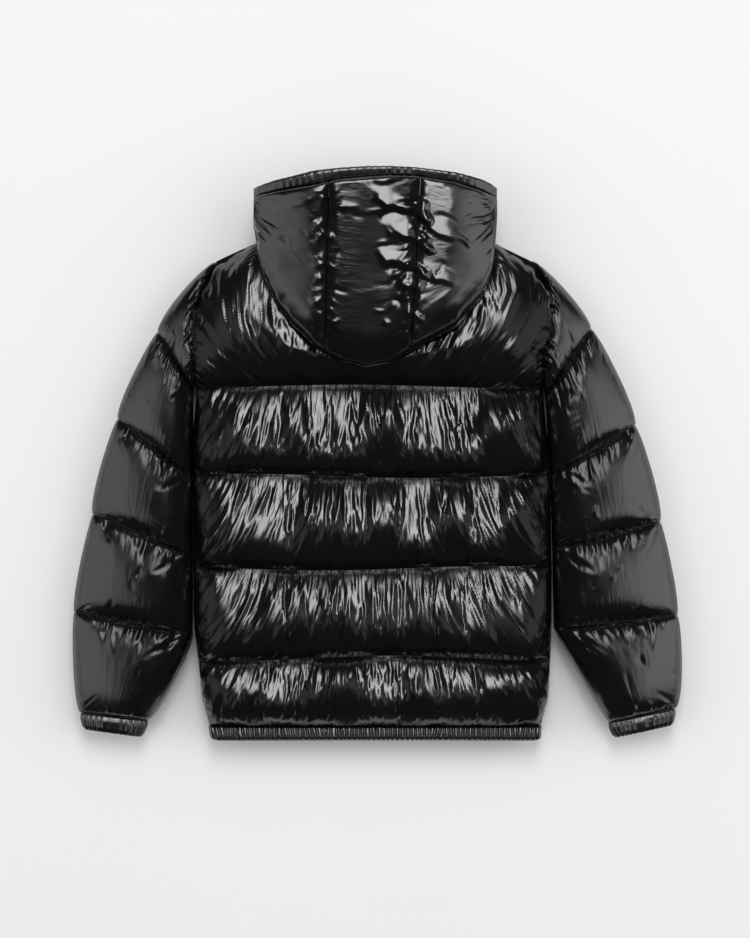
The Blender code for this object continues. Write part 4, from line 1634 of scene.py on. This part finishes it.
class StitchTree(ShapeTree):
    """Sews a line of short thread stitches along curves."""

    def __init__(self) -> None:
        """Builds the tree."""
        super().__init__("stitches", {"Pitch": float, "Length": float, "Radius": float,
                                      "Material": bpy.types.Material})
        nodes = self.nodes
        points = nodes.add("GeometryNodeResampleCurve", {"mode": "LENGTH"},
                           Curve=self.given("Geometry"), Length=self.given("Pitch"))
        thread = nodes.add("GeometryNodeMeshCylinder", Vertices=6, Radius=self.given("Radius"),
                           Depth=self.given("Length"))
        tangent = nodes.add("GeometryNodeInputTangent")
        turn = nodes.add("FunctionNodeAlignRotationToVector", {"axis": "Z"}, Vector=tangent.outputs[0])
        sewn = nodes.add("GeometryNodeInstanceOnPoints", Points=points.outputs[0],
                         Instance=thread.outputs["Mesh"], Rotation=turn.outputs[0])
        self.close(sewn.outputs[0])


class GatherTree(ShapeTree):
    """Pushes a surface in and out in narrow, uneven gathers.

    It reads three attributes of the points: "run" and "rise", how far along and across the
    strip a point is, in metres, and "gather", how much it moves.
    """

    DRIFT = 3.0       # how far the ribs wander, in radians
    FULLNESS = 0.55   # below 1 the ribs are round with narrow valleys
    MEAN = 0.6        # what is taken off, so that the strip keeps its girth
    UNEVEN = 1.1      # share of a rib's height that varies
    EVEN = 0.6        # and that every rib has
    FINE = 0.25       # height of the small ripples

    def __init__(self) -> None:
        """Builds the tree."""
        super().__init__("gathers", {"Period": float, "Depth": float, "Seed": float,
                                     "Material": bpy.types.Material})
        nodes = self.nodes
        run, gather, rise = (
            nodes.term(nodes.add("GeometryNodeInputNamedAttribute", Name=key).outputs[0])
            for key in ("run", "gather", "rise")
        )
        along = run / self.number("Period")
        lift = rise / self.number("Period")
        drift = self._noise(along * 0.35, lift * 0.3, 0.0)
        size_drift = self._noise(along * 0.9, lift * 0.35, 5.0)
        fine = self._noise(along * 2.1, lift * 0.5, 9.0)
        ribs = (along * math.pi + drift * self.DRIFT).sine().magnitude() ** self.FULLNESS - self.MEAN
        waves = ribs * (size_drift * self.UNEVEN + self.EVEN) + (fine - 0.5) * self.FINE
        size = waves * self.number("Depth") * gather
        normal = nodes.add("GeometryNodeInputNormal")
        push = nodes.add("ShaderNodeVectorMath", {"operation": "SCALE"})
        nodes.feed(push.inputs[0], normal.outputs[0])
        nodes.feed(push.inputs["Scale"], size)
        moved = nodes.add("GeometryNodeSetPosition", Geometry=self.given("Geometry"),
                          Offset=push.outputs[0])
        self.close(moved.outputs[0])

    def _noise(self, along: Term, lift: Term, layer: float) -> Term:
        """Smooth noise over the strip.

        Args:
            along: Place along the strip, in periods.
            lift: Place across it, in periods.
            layer: Picks another pattern.

        Returns:
            The noise, from 0 to 1.
        """
        place = self.nodes.add("ShaderNodeCombineXYZ", X=along, Y=lift,
                               Z=self.number("Seed") + layer)
        noise = self.nodes.add("ShaderNodeTexNoise", {"noise_dimensions": "3D"},
                               Vector=place.outputs[0], Scale=1.0, Detail=0.0)
        return self.nodes.term(noise.outputs[0])


class ToothTree(ShapeTree):
    """Sets zip teeth along a line, turn about on either side of it."""

    def __init__(self) -> None:
        """Builds the tree."""
        super().__init__("teeth", {"Pitch": float, "Width": float, "Reach": float, "Thickness": float,
                                   "Material": bpy.types.Material})
        nodes = self.nodes
        points = nodes.add("GeometryNodeResampleCurve", {"mode": "LENGTH"},
                           Curve=self.given("Geometry"), Length=self.given("Pitch"))
        index = nodes.term(nodes.add("GeometryNodeInputIndex").outputs[0])
        side = index.modulo(2.0) * 2.0 - 1.0
        shift = nodes.add("ShaderNodeCombineXYZ", X=side * self.number("Reach") * 0.35)
        placed = nodes.add("GeometryNodeSetPosition", Geometry=points.outputs[0],
                           Offset=shift.outputs[0])
        size = nodes.add("ShaderNodeCombineXYZ", X=self.given("Reach"), Y=self.given("Width"),
                         Z=self.given("Thickness"))
        tooth = nodes.add("GeometryNodeMeshCube", Size=size.outputs[0], Vertices_X=3, Vertices_Y=2,
                          Vertices_Z=2)
        teeth = nodes.add("GeometryNodeInstanceOnPoints", Points=placed.outputs[0],
                          Instance=tooth.outputs["Mesh"])
        self.close(teeth.outputs[0])


def make_curve(name: str, runs: Sequence[np.ndarray]) -> bpy.types.Object:
    """A curve object through runs of points.

    Args:
        name: The object's name.
        runs: The points of each run, in metres.

    Returns:
        The linked object.
    """
    curve = bpy.data.curves.new(name, "CURVE")
    curve.dimensions = "3D"
    for run in runs:
        spline = curve.splines.new("POLY")
        spline.points.add(len(run) - 1)
        spline.points.foreach_set("co", np.column_stack([run, np.ones(len(run))]).ravel())
    piece = bpy.data.objects.new(name, curve)
    bpy.context.scene.collection.objects.link(piece)
    return piece


@dataclass
class Strip:
    """A gathered strip of doubled cloth: a hem, a cuff or the hood's casing.

    Rings hold the section at each place along the strip, in millimetres, and gather says
    how much each point of a section moves with the gathers.
    """

    name: str
    nodes: tuple[str, ...]
    rings: np.ndarray
    gather: np.ndarray
    tube: bool
    period: float
    depth: float
    seed: float
    flat: tuple[float, float]
    rests_on: tuple[str, ...]
    like_hood: bool = False

    def build(self, layout: Layout, tree: GatherTree, look: bpy.types.Material) -> None:
        """Makes the strip and gathers it.

        Args:
            layout: The frame's layout.
            tree: The gathers' node tree.
            look: The strip's material.
        """
        rows, count = self.rings.shape[:2]
        points = self.rings.reshape(-1, 3)
        faces = loft_faces(rows, count)
        if self.tube:
            index = np.arange(rows * count).reshape(rows, count)
            last, first = index[-1], index[0]
            ends = (last, np.roll(last, -1), np.roll(first, -1), first)
            faces = faces[:-2] + np.stack(ends, -1).tolist()
        middle = self.rings.mean(axis=1)
        run = np.concatenate([[0.0], np.cumsum(np.linalg.norm(np.diff(middle, axis=0), axis=1))])
        low = self.rings[..., 1].min(axis=1, keepdims=True)
        run = np.broadcast_to(run[:, None], (rows, count)) * MM
        rise = (self.rings[..., 1] - low) * MM
        gather = np.broadcast_to(self.gather, (rows, count))
        source = make_mesh(self.name, layout.metres(points), outward(points, faces), look,
                           gather, np.stack([run, rise], -1))
        for key, values in (("run", run), ("rise", rise), ("gather", gather)):
            data = np.ascontiguousarray(values, np.float32).ravel()
            source.data.attributes.new(key, "FLOAT", "POINT").data.foreach_set("value", data)
        piece = tree.apply(source, Period=self.period * MM, Depth=self.depth * MM, Seed=self.seed,
                           Material=look)
        put_on(piece, self.nodes)


@dataclass
class Trims:
    """The gathered strips: hem, cuffs and the hood's casing."""

    layout: Layout

    hem_crest: float = 17.0
    hem_corner: float = 7.0
    hem_end: float = 12.0
    hem_end_lift: float = 0.3
    hem_ring_step: float = 0.9
    hem_gathers: tuple[float, float] = (6.8, 2.3)
    front_flat: tuple[float, float] = (0.28, 0.036)
    cuff_thick: float = 26.0
    cuff_wall: float = 11.5
    cuff_rings: int = 190
    cuff_gathers: tuple[float, float] = (6.6, 2.1)
    cuff_flat: tuple[float, float] = (0.29, 0.025)
    cuffs: dict[Side, tuple] = field(default_factory=lambda: {
        Side.LEFT: ((-413, 38), (-319, 28), (-409, 16), (-327, 5)),
        Side.RIGHT: ((421, 44), (328, 25), (418, 22), (336, 4)),
    })
    rim_ends: tuple[float, float] = (-168.0, 169.0)
    rim_rings: int = 290
    rim_end: float = 9.0
    rim_gathers: tuple[float, float] = (11.0, 0.5)

    def _hem(self, name: str, node: str, edge_columns: tuple, layer: Layer, seed: float,
             flat: tuple[float, float]) -> Strip:
        """One of the hem's three strips, between two columns of the body's outline.

        Args:
            name: The piece's name.
            node: The node that it replaces.
            edge_columns: For each end, a column of the outline, or 0 and a side of the zip.
            layer: The layer that it is on.
            seed: Start of its gathers.
            flat: Its flat size, in metres.

        Returns:
            The strip.
        """
        y = np.concatenate([np.linspace(0.0, 3.0, 4), np.linspace(4.5, 19.5, 11), [21.0, 21.7]])
        lift = np.interp(y, (0.0, 1.2, 3.0, 5.0, 11.0, 16.0, 19.5, 21.7),
                         (0.35, 0.75, 0.95, 1.0, 0.94, 0.86, 0.78, 0.55))
        corner = self.hem_corner * (1.0 - dome(y, self.hem_corner))
        starts = []
        for edge, side in edge_columns:
            zip_edge = np.full_like(y, side * ZIP_HALF_CHANNEL)
            starts.append(column(BODY_EDGES, y, edge) - (2 * edge - 3) * corner if edge else zip_edge)
        width = float(np.abs(starts[1] - starts[0]).mean())
        rings = []
        for share in np.linspace(0.0, 1.0, int(width / self.hem_ring_step)):
            x = mix(starts[0], starts[1], share)
            edge = mix(self.hem_end_lift, 1.0, dome(min(share, 1.0 - share) * width, self.hem_end))
            z = MIDDLE + layer.value * (LAYER_GAP + self.hem_crest * lift * edge)
            outer = np.stack([x, y, z], -1)
            inner = outer[[-1, 0]].copy()
            inner[:, 2] = MIDDLE + layer.value * LAYER_GAP
            rings.append(np.concatenate([outer, inner]))
        gather = np.concatenate([np.interp(y, (0.0, 3.0, 19.0, 21.7), (0.5, 1.0, 1.0, 0.35)), [0.0, 0.0]])
        return Strip(name, (node,), np.array(rings), gather, False, *self.hem_gathers, seed, flat, ("back",))

    def _cuff(self, side: Side) -> Strip:
        """A cuff: an outer and an inner wall joined at both ends.

        Args:
            side: The sleeve that it ends.

        Returns:
            The strip.
        """
        near_outer, near_inner, wrist_outer, wrist_inner = (np.array(p, float) for p in self.cuffs[side])
        length = np.linalg.norm(near_inner - near_outer)
        trim = self.cuff_wall / length
        half, hollow = self.cuff_thick / 2.0, self.cuff_thick / 2.0 - self.cuff_wall
        key = np.array((0.0, 0.35, 0.75, 1.0))
        along = np.linspace(0.0, 1.0, 16)
        loops = [(a, np.interp(a, key, (0.0, -0.015, -0.01, 0.02)),
                  np.interp(a, key, (half - 1.5, half, half, half - 2.5)), 1.0) for a in along]
        loops += [(a, trim, hollow, 0.0) for a in (1.0, 0.75, 0.5, 0.25, 0.0)]
        rings = []
        for angle in np.linspace(0.0, 2.0 * math.pi, self.cuff_rings, endpoint=False):
            cosine, sine = math.cos(angle), math.sin(angle)
            across = 0.5 - 0.5 * math.copysign(abs(cosine) ** 0.5, cosine)
            height = math.copysign(abs(sine) ** 0.7, sine)
            ring = []
            for a, low, lift, _ in loops:
                start, end = mix(near_outer, wrist_outer, a), mix(near_inner, wrist_inner, a)
                place = mix(start, end, mix(low, 1.0 - low, across))
                ring.append((place[0], place[1], MIDDLE + height * lift))
            rings.append(ring)
        gather = np.array([share * np.interp(a, (0.0, 0.2, 0.85, 1.0), (0.4, 1.0, 1.0, 0.5))
                           for a, _, _, share in loops])
        name = f"cuff_{side.word}"
        return Strip(name + "_band", (name,), np.array(rings), gather, True, *self.cuff_gathers,
                     5.0 + side.value, self.cuff_flat, (f"sleeve_{side.word}_top",))

    def _rim(self) -> Strip:
        """The casing round the hood's opening, along the hood's upper edge.

        Returns:
            The strip.
        """
        left, right = self.rim_ends
        shares = np.array((0.0, 0.0, 0.06, 0.16, 0.3, 0.45, 0.6, 0.75, 0.87, 0.95, 1.0, 1.0, 0.7))
        rings = []
        for x in np.linspace(left, right, self.rim_rings):
            low, high = column(HOOD_EDGES, x, 2) + 1.0, column(HOOD_EDGES, x, 3)
            base = float(hood_floor(low))
            end = float(dome(min(x - left, right - x), self.rim_end))
            top = float(hood_height(x, low, column(HOOD_EDGES, x, 1), HoodPanel.fill.crest))
            lifts = np.array((-4.0, 0.76, 0.795, 0.805, 0.81, 0.814, 0.818, 0.82, 0.81, 0.75, 0.56,
                              0.1, -6.0))
            lifts[1:-1] *= top * mix(0.75, 1.0, end)
            rings.append(np.stack([np.full(13, x), mix(low, high, shares), base + HOOD_SLIT + lifts], -1))
        gather = np.array((0.0, 0.3, 0.8, 1, 1, 1, 1, 1, 1, 0.8, 0.5, 0.2, 0.0))
        return Strip("hood_rim_band", ("hood_rim",), np.array(rings), gather, False, *self.rim_gathers,
                     9.0, (0.42, 0.045), ("hood_center",), like_hood=True)

    def build(self, looks: "Looks") -> None:
        """Makes every strip.

        Args:
            looks: All materials.
        """
        tree = GatherTree()
        strips = [
            self._hem("hem_back_band", "hem_back", ((1, 0), (2, 0)), Layer.UPPER, 1.0, (0.60, 0.036)),
            self._hem("hem_front_left_band", "hem_front_left", ((1, 0), (0, -1)), Layer.UNDER, 2.0,
                      self.front_flat),
            self._hem("hem_front_right_band", "hem_front_right", ((0, 1), (2, 0)), Layer.UNDER, 3.0,
                      self.front_flat),
            self._cuff(Side.LEFT),
            self._cuff(Side.RIGHT),
            self._rim(),
        ]
        for strip in strips:
            strip.build(self.layout, tree, looks.hood if strip.like_hood else looks.trim)


@dataclass
class Zip:
    """Tapes, teeth, slider and pull between the two fronts."""

    layout: Layout

    level: float = 21.0
    bottom: float = 4.0
    tape_top: float = 749.5
    chain_top: float = 759.5
    end_gap: float = 0.8
    tape_thick: float = 1.2
    tape_edges: tuple[float, float] = (3.5, 14.7)
    tape_flat: tuple[float, float] = (0.0116, 0.7455)
    pitch: float = 1.5
    tooth: tuple[float, float, float] = (1.15, 3.9, 2.5)

    def build(self, looks: "Looks") -> None:
        """Makes the tapes and teeth, and dresses the slider and the pull.

        Args:
            looks: All materials.
        """
        for side in Side:
            self._tape(side, looks.tape)
        ends = (self.bottom + self.end_gap, self.chain_top - self.end_gap)
        runs = [self.layout.metres(np.array([(0.0, end, self.level) for end in ends]))]
        width, reach, thickness = self.tooth
        chain = ToothTree().apply(make_curve("zip_teeth", runs), Pitch=self.pitch * MM,
                                  Width=width * MM, Reach=reach * MM, Thickness=thickness * MM,
                                  Material=looks.teeth)
        chain.data.shade_flat()
        put_on(chain, ("zip_chain",))
        for node in ("zip_slider", "zip_pull"):
            for holder in frame["nodes"][node].material_slots:
                holder.material = looks.metal
            LOG.info("%s: finished in %s", node, looks.metal.name)

    def _tape(self, side: Side, look: bpy.types.Material) -> None:
        """One tape: a thin woven strip with a bead along its inner edge.

        Args:
            side: The zip's side that it is on.
            look: The tape's material.
        """
        inner, outer = (side.value * edge for edge in self.tape_edges)
        shares = np.array((0.0, 0.08, 0.2, 0.5, 0.8, 0.93, 1.0))
        half = self.tape_thick / 2.0 * np.array((0.85, 1.0, 0.75, 0.7, 0.75, 0.95, 0.5))
        x = mix(inner, outer, shares)
        x, z = np.concatenate([x, x[::-1]]), np.concatenate([half, -half[::-1]])
        rings = np.array([np.stack([x, np.full(14, y), self.level + z], -1)
                          for y in np.linspace(self.bottom, self.tape_top, 150)])
        points = rings.reshape(-1, 3)
        grain = np.stack([np.broadcast_to(x, rings.shape[:2]), rings[..., 1]], -1) * MM
        name = f"zip_tape_{side.word}"
        piece = make_mesh(name + "_weave", self.layout.metres(points),
                          outward(points, loft_faces(len(rings), 14)), look, None, grain)
        put_on(piece, (name,))


@dataclass
class Stitches:
    """Lines of thread along the quilting seams."""

    layout: Layout

    pitch: float = 3.4
    length: float = 2.5
    radius: float = 0.22
    lift: float = 0.08
    hem_offset: float = 1.2
    skipped: int = 3
    lowest: float = 1.0

    def build(self, panels: Sequence[tuple[Panel, Layer]], look: bpy.types.Material) -> None:
        """Sews along every seam between two baffles.

        Args:
            panels: The body's and sleeves' panels, and the layer that each is on.
            look: The thread's material.
        """
        runs = []
        for panel, layer in panels:
            for row in np.nonzero(panel.phase == 0.0)[0]:
                run = panel.points[row].copy()
                run[:, 2] = MIDDLE + layer.value * (LAYER_GAP + run[:, 2] + self.lift)
                if row == 0:
                    run[:, 1] += self.hem_offset
                runs.append(self.layout.metres(run[self.skipped:-self.skipped]))
        runs = [run for run in runs if run[:, 2].min() > self.lowest * MM]
        piece = StitchTree().apply(make_curve("quilting_thread", runs), Pitch=self.pitch * MM,
                                   Length=self.length * MM, Radius=self.radius * MM, Material=look)
        put_on(piece)


class Surface:
    """A new material whose tones and gloss follow one patchy noise."""

    def __init__(self, name: str, scale: float, detail: float, band: tuple[float, float]) -> None:
        """Starts the material.

        Args:
            name: The material's name.
            scale: How fine the noise is.
            detail: How many finer layers it has.
            band: The noise's values between which one tone passes into the other.
        """
        self.look = bpy.data.materials.new(name)
        self.look.use_nodes = True
        self.nodes = Nodes(self.look.node_tree)
        self.inputs = self.look.node_tree.nodes["Principled BSDF"].inputs
        self.solid = self.nodes.add("ShaderNodeTexCoord").outputs["Object"]
        self.patch = self.noise(self.solid, scale, detail).between(*band)

    def noise(self, place: bpy.types.NodeSocket, scale: float, detail: float, **inputs) -> Term:
        """Noise over a place, from 0 to 1."""
        noise = self.nodes.add("ShaderNodeTexNoise", Vector=place, Scale=scale, Detail=detail, **inputs)
        return self.nodes.term(noise.outputs[0])

    def tint(self, first: Sequence[float], second: Sequence[float]) -> None:
        """Colours the material.

        Args:
            first: One tone.
            second: The other.
        """
        tone = self.nodes.add("ShaderNodeMix", {"data_type": "RGBA"})
        self.nodes.feed(tone.inputs["Factor"], self.patch)
        self.nodes.feed(tone.inputs[6], (*first, 1.0))
        self.nodes.feed(tone.inputs[7], (*second, 1.0))
        self.nodes.feed(self.inputs["Base Color"], tone.outputs[2])

    def polish(self, shine: tuple[float, float]) -> None:
        """Sets the two roughnesses that the material passes between."""
        self.nodes.feed(self.inputs["Roughness"], self.patch * (shine[1] - shine[0]) + shine[0])

    def emboss(self, height: Term, strength: float, distance: float) -> None:
        """Shades the surface as if it were raised by a height."""
        bump = self.nodes.add("ShaderNodeBump", Strength=strength, Distance=distance, Height=height)
        self.nodes.feed(self.inputs["Normal"], bump.outputs[0])


@dataclass(frozen=True)
class ClothFinish:
    """A smooth or woven cloth: its two tones, gloss, and the fine creases in its surface.

    Streaks are crease ridges along the cloth, per metre across and along it, and their
    height is in metres.
    """

    name: str
    dark: tuple[float, float, float]
    light: tuple[float, float, float]
    shine: tuple[float, float]
    streak_height: float = 0.0
    streaks_across: float = 0.0
    streaks_along: float = 0.0
    streak_floor: float = 0.3
    sheen: float = 0.0
    gloss: float = 1.0
    weave_height: float = 0.00002

    def build(self) -> bpy.types.Material:
        """Makes the material.

        Returns:
            The material.
        """
        surface = Surface(self.name, 26.0, 2.0, (0.3, 0.7))
        surface.inputs["Sheen Weight"].default_value = self.sheen
        surface.inputs["Specular IOR Level"].default_value = self.gloss
        surface.tint(self.dark, self.light)
        surface.polish(self.shine)
        height = surface.noise(surface.solid, 850.0, 0.0) * self.weave_height
        if self.streak_height > 0.0:
            height = height + self._creases(surface)
        surface.emboss(height, 1.0, 1.0)
        return surface.look

    def _creases(self, surface: Surface) -> Term:
        """Height of the fine creases, deeper where the cloth is puckered.

        Args:
            surface: The material.

        Returns:
            A height, in metres.
        """
        nodes = surface.nodes
        cloth = nodes.add("ShaderNodeUVMap", {"uv_map": "cloth"})
        place = nodes.add("ShaderNodeSeparateXYZ", Vector=cloth.outputs[0])
        across, along = nodes.term(place.outputs[0]), nodes.term(place.outputs[1])
        pucker = nodes.term(nodes.add("ShaderNodeAttribute", {"attribute_name": "pucker"}).outputs["Fac"])
        total = 0.0
        for scale, share, seed in ((1.0, 1.0, 0.0), (2.2, 0.4, 7.3)):
            point = nodes.add("ShaderNodeCombineXYZ", X=across * (self.streaks_across * scale),
                              Y=along * (self.streaks_along * scale), Z=seed)
            wave = surface.noise(point.outputs[0], 1.0, 1.0, Distortion=0.4)
            total = wave * (self.streak_height * share) + total
        return total * (pucker * (1.0 - self.streak_floor) + self.streak_floor)


@dataclass(frozen=True)
class HardFinish:
    """Moulded plastic or plated metal, with fine scratches."""

    name: str
    colour: tuple[float, float, float]
    worn: tuple[float, float, float]
    shine: tuple[float, float]
    metallic: float
    scratches: tuple[float, float, float] = (2600.0, 180.0, 900.0)

    def build(self) -> bpy.types.Material:
        """Makes the material.

        Returns:
            The material.
        """
        surface = Surface(self.name, 420.0, 3.0, (0.35, 0.65))
        surface.inputs["Metallic"].default_value = self.metallic
        surface.tint(self.colour, self.worn)
        surface.polish(self.shine)
        stretched = surface.nodes.add("ShaderNodeMapping", Vector=surface.solid, Scale=self.scratches)
        surface.emboss(surface.noise(stretched.outputs[0], 1.0, 2.0), 0.5, 0.00006)
        return surface.look


@dataclass
class Looks:
    """Every material of the jacket."""

    shell: bpy.types.Material = field(init=False)
    hood: bpy.types.Material = field(init=False)
    trim: bpy.types.Material = field(init=False)
    thread: bpy.types.Material = field(init=False)
    tape: bpy.types.Material = field(init=False)
    teeth: bpy.types.Material = field(init=False)
    metal: bpy.types.Material = field(init=False)

    def __post_init__(self) -> None:
        """Makes all of them."""
        self.shell = ClothFinish("glossy_shell", (0.0035, 0.0035, 0.0038), (0.005, 0.005, 0.0054),
                                 (0.17, 0.24), 0.0008, 165.0, 18.0).build()
        self.hood = ClothFinish("glossy_hood_shell", (0.0035, 0.0035, 0.0038), (0.005, 0.005, 0.0054),
                                (0.17, 0.24), 0.00045, 150.0, 40.0, 0.12).build()
        self.trim = ClothFinish("gathered_cloth", (0.004, 0.004, 0.0043), (0.006, 0.006, 0.0064),
                                (0.2, 0.28), 0.0002, 420.0, 60.0).build()
        self.thread = ClothFinish("quilting_thread", (0.006, 0.006, 0.0063), (0.012, 0.012, 0.0124),
                                  (0.45, 0.55)).build()
        self.tape = ClothFinish("woven_tape", (0.012, 0.012, 0.012), (0.024, 0.024, 0.024),
                                (0.7, 0.85), 0.00012, 900.0, 1100.0, 1.0, 0.2).build()
        self.teeth = HardFinish("zip_tooth_plastic", (0.012, 0.012, 0.012), (0.03, 0.03, 0.03),
                                (0.28, 0.45), 0.0).build()
        self.metal = HardFinish("black_plated_metal", (0.035, 0.035, 0.038), (0.09, 0.09, 0.095),
                                (0.25, 0.42), 1.0).build()


@dataclass(frozen=True)
class Softbox:
    """A rectangular area light that faces a point and dims towards its edges.

    Flags keep its light off the pieces whose names start with one of the given words.
    """

    name: str
    place: tuple[float, float, float]
    size: tuple[float, float]
    power: float
    target: tuple[float, float, float] = (0.0, 0.0, 0.0)
    soft: float = 0.7
    flagged: tuple[str, ...] = ()

    def build(self) -> None:
        """Adds the light to the scene."""
        light = bpy.data.lights.new(self.name, "AREA")
        light.shape = "RECTANGLE"
        light.size, light.size_y = self.size
        light.energy = self.power
        light.use_nodes = True
        nodes = Nodes(light.node_tree)
        spot = nodes.add("ShaderNodeNewGeometry").outputs["Parametric"]
        place = nodes.add("ShaderNodeSeparateXYZ", Vector=spot)
        glow = None
        for axis in range(2):
            share = nodes.term(place.outputs[axis])
            fade = (share * (1.0 - share) * 4.0).between(0.0, self.soft)
            glow = fade if glow is None else glow * fade
        nodes.feed(light.node_tree.nodes["Emission"].inputs["Strength"], glow)
        holder = bpy.data.objects.new(self.name, light)
        bpy.context.scene.collection.objects.link(holder)
        holder.location = self.place
        aim = Vector(self.target) - Vector(self.place)
        holder.rotation_euler = aim.to_track_quat("-Z", "Y").to_euler()
        if self.flagged:
            self._flag(holder)

    def _flag(self, holder: bpy.types.Object) -> None:
        """Keeps the light off the flagged pieces.

        Args:
            holder: The light's object.
        """
        flags = bpy.data.collections.new(self.name + "_flags")
        for piece in bpy.data.objects:
            if piece.type == "MESH" and piece.name.startswith(self.flagged):
                flags.objects.link(piece)
        for entry in flags.collection_objects:
            entry.light_linking.link_state = "EXCLUDE"
        holder.light_linking.receiver_collection = flags


@dataclass
class Studio:
    """Camera, floor, lights and surroundings."""

    centre: tuple[float, float] = (-0.0033, -0.0182)
    distance: float = 3.65
    level: float = 0.05
    lights: tuple[Softbox, ...] = (
        Softbox("hood_side", (0.15, 2.4, 4.8), (2.2, 3.8), 174.0, flagged=("sleeve",)),
        Softbox("sleeve_side", (0.15, 2.4, 4.8), (2.2, 3.8), 74.0,
                flagged=("back", "hem", "hood", "cuff", "floor", "front")),
        Softbox("left_side", (-3.85, 0.1, 2.7), (5.0, 8.0), 112.0, soft=0.75,
                flagged=("back", "hem", "sleeve_right", "hood_right", "hood_center")),
        Softbox("right_side", (3.85, 0.3, 2.7), (4.6, 8.0), 150.0, soft=0.75,
                flagged=("back", "hem", "sleeve_left", "hood_left", "hood_center")),
        Softbox("left_fill", (-3.5, 0.1, 3.1), (3.0, 4.8), 13.0, soft=0.5,
                flagged=("sleeve", "hood", "cuff", "floor")),
        Softbox("right_fill", (3.5, 0.3, 3.1), (3.0, 4.8), 15.0, soft=0.5,
                flagged=("sleeve", "hood", "cuff", "floor")),
    )
    floor_tone: float = 0.89
    floor_reach: float = 5.0
    floor_level: float = -0.0005
    glow: float = 0.03
    sky: float = 0.4

    def build(self) -> None:
        """Sets up the whole studio."""
        scene = bpy.context.scene
        scene.view_settings.view_transform = "Standard"
        scene.view_settings.look = "None"
        self._camera()
        self._floor()
        self._surroundings()
        for light in self.lights:
            light.build()

    def _camera(self) -> None:
        """A camera straight above the jacket."""
        camera = bpy.data.cameras.new("camera")
        camera.lens = 100.0
        camera.sensor_width = 36.0
        camera.clip_end = 50.0
        holder = bpy.data.objects.new("camera", camera)
        bpy.context.scene.collection.objects.link(holder)
        holder.location = (*self.centre, self.distance + self.level)
        bpy.context.scene.camera = holder

    def _floor(self) -> None:
        """A pale floor below the jacket."""
        surface = Surface("pale_floor", 3.0, 2.0, (0.2, 0.8))
        surface.inputs["Roughness"].default_value = 0.9
        surface.inputs["Specular IOR Level"].default_value = 0.1
        surface.tint((self.floor_tone,) * 3, (self.floor_tone * 0.99,) * 3)
        reach, level = self.floor_reach, self.floor_level
        corners = [(x * reach, y * reach, level) for x, y in ((-1, -1), (1, -1), (1, 1), (-1, 1))]
        mesh = bpy.data.meshes.new("floor")
        mesh.from_pydata(corners, [], [(0, 1, 2, 3)])
        mesh.materials.append(surface.look)
        floor = bpy.data.objects.new("floor", mesh)
        bpy.context.scene.collection.objects.link(floor)

    def _surroundings(self) -> None:
        """Dim surroundings for gloss and pale ones for everything else."""
        world = bpy.data.worlds.new("surroundings")
        bpy.context.scene.world = world
        world.use_nodes = True
        nodes = Nodes(world.node_tree)
        background = world.node_tree.nodes["Background"]
        rays = nodes.add("ShaderNodeLightPath")
        glossy = nodes.term(rays.outputs["Is Glossy Ray"])
        tone = glossy * (self.glow - self.sky) + self.sky
        background.inputs["Color"].default_value = (1.0, 1.0, 1.0, 1.0)
        nodes.feed(background.inputs["Strength"], tone)


def main() -> None:
    """Builds the jacket, piece by piece, and its studio."""
    layout = Layout.from_frame()
    looks = Looks()
    cloth = ClothRoom()
    body = Body(layout)
    sleeves = [Sleeve(table, layout) for table in (LEFT_SLEEVE, RIGHT_SLEEVE)]
    hood = Hood(layout)
    for part in (body, *sleeves, hood):
        part.plan(cloth)
    cloth.run()
    body.build(looks.shell)
    for sleeve in sleeves:
        sleeve.build(looks.shell)
    hood.build(looks.hood)
    for side in Side:
        Collar(side, layout).build(looks.shell)
    Trims(layout).build(looks)
    Zip(layout).build(looks)
    sewn = [(body.back, Layer.UPPER)]
    sewn += [(panel, Layer.UNDER) for panel in body.fronts.values()]
    sewn += [(panel, layer) for sleeve in sleeves for layer, (_, panel) in sleeve.panels.items()]
    Stitches(layout).build(sewn, looks.thread)
    Studio().build()


if __name__ == "__main__":
    logging.basicConfig(level=logging.INFO, format="%(message)s")
    main()
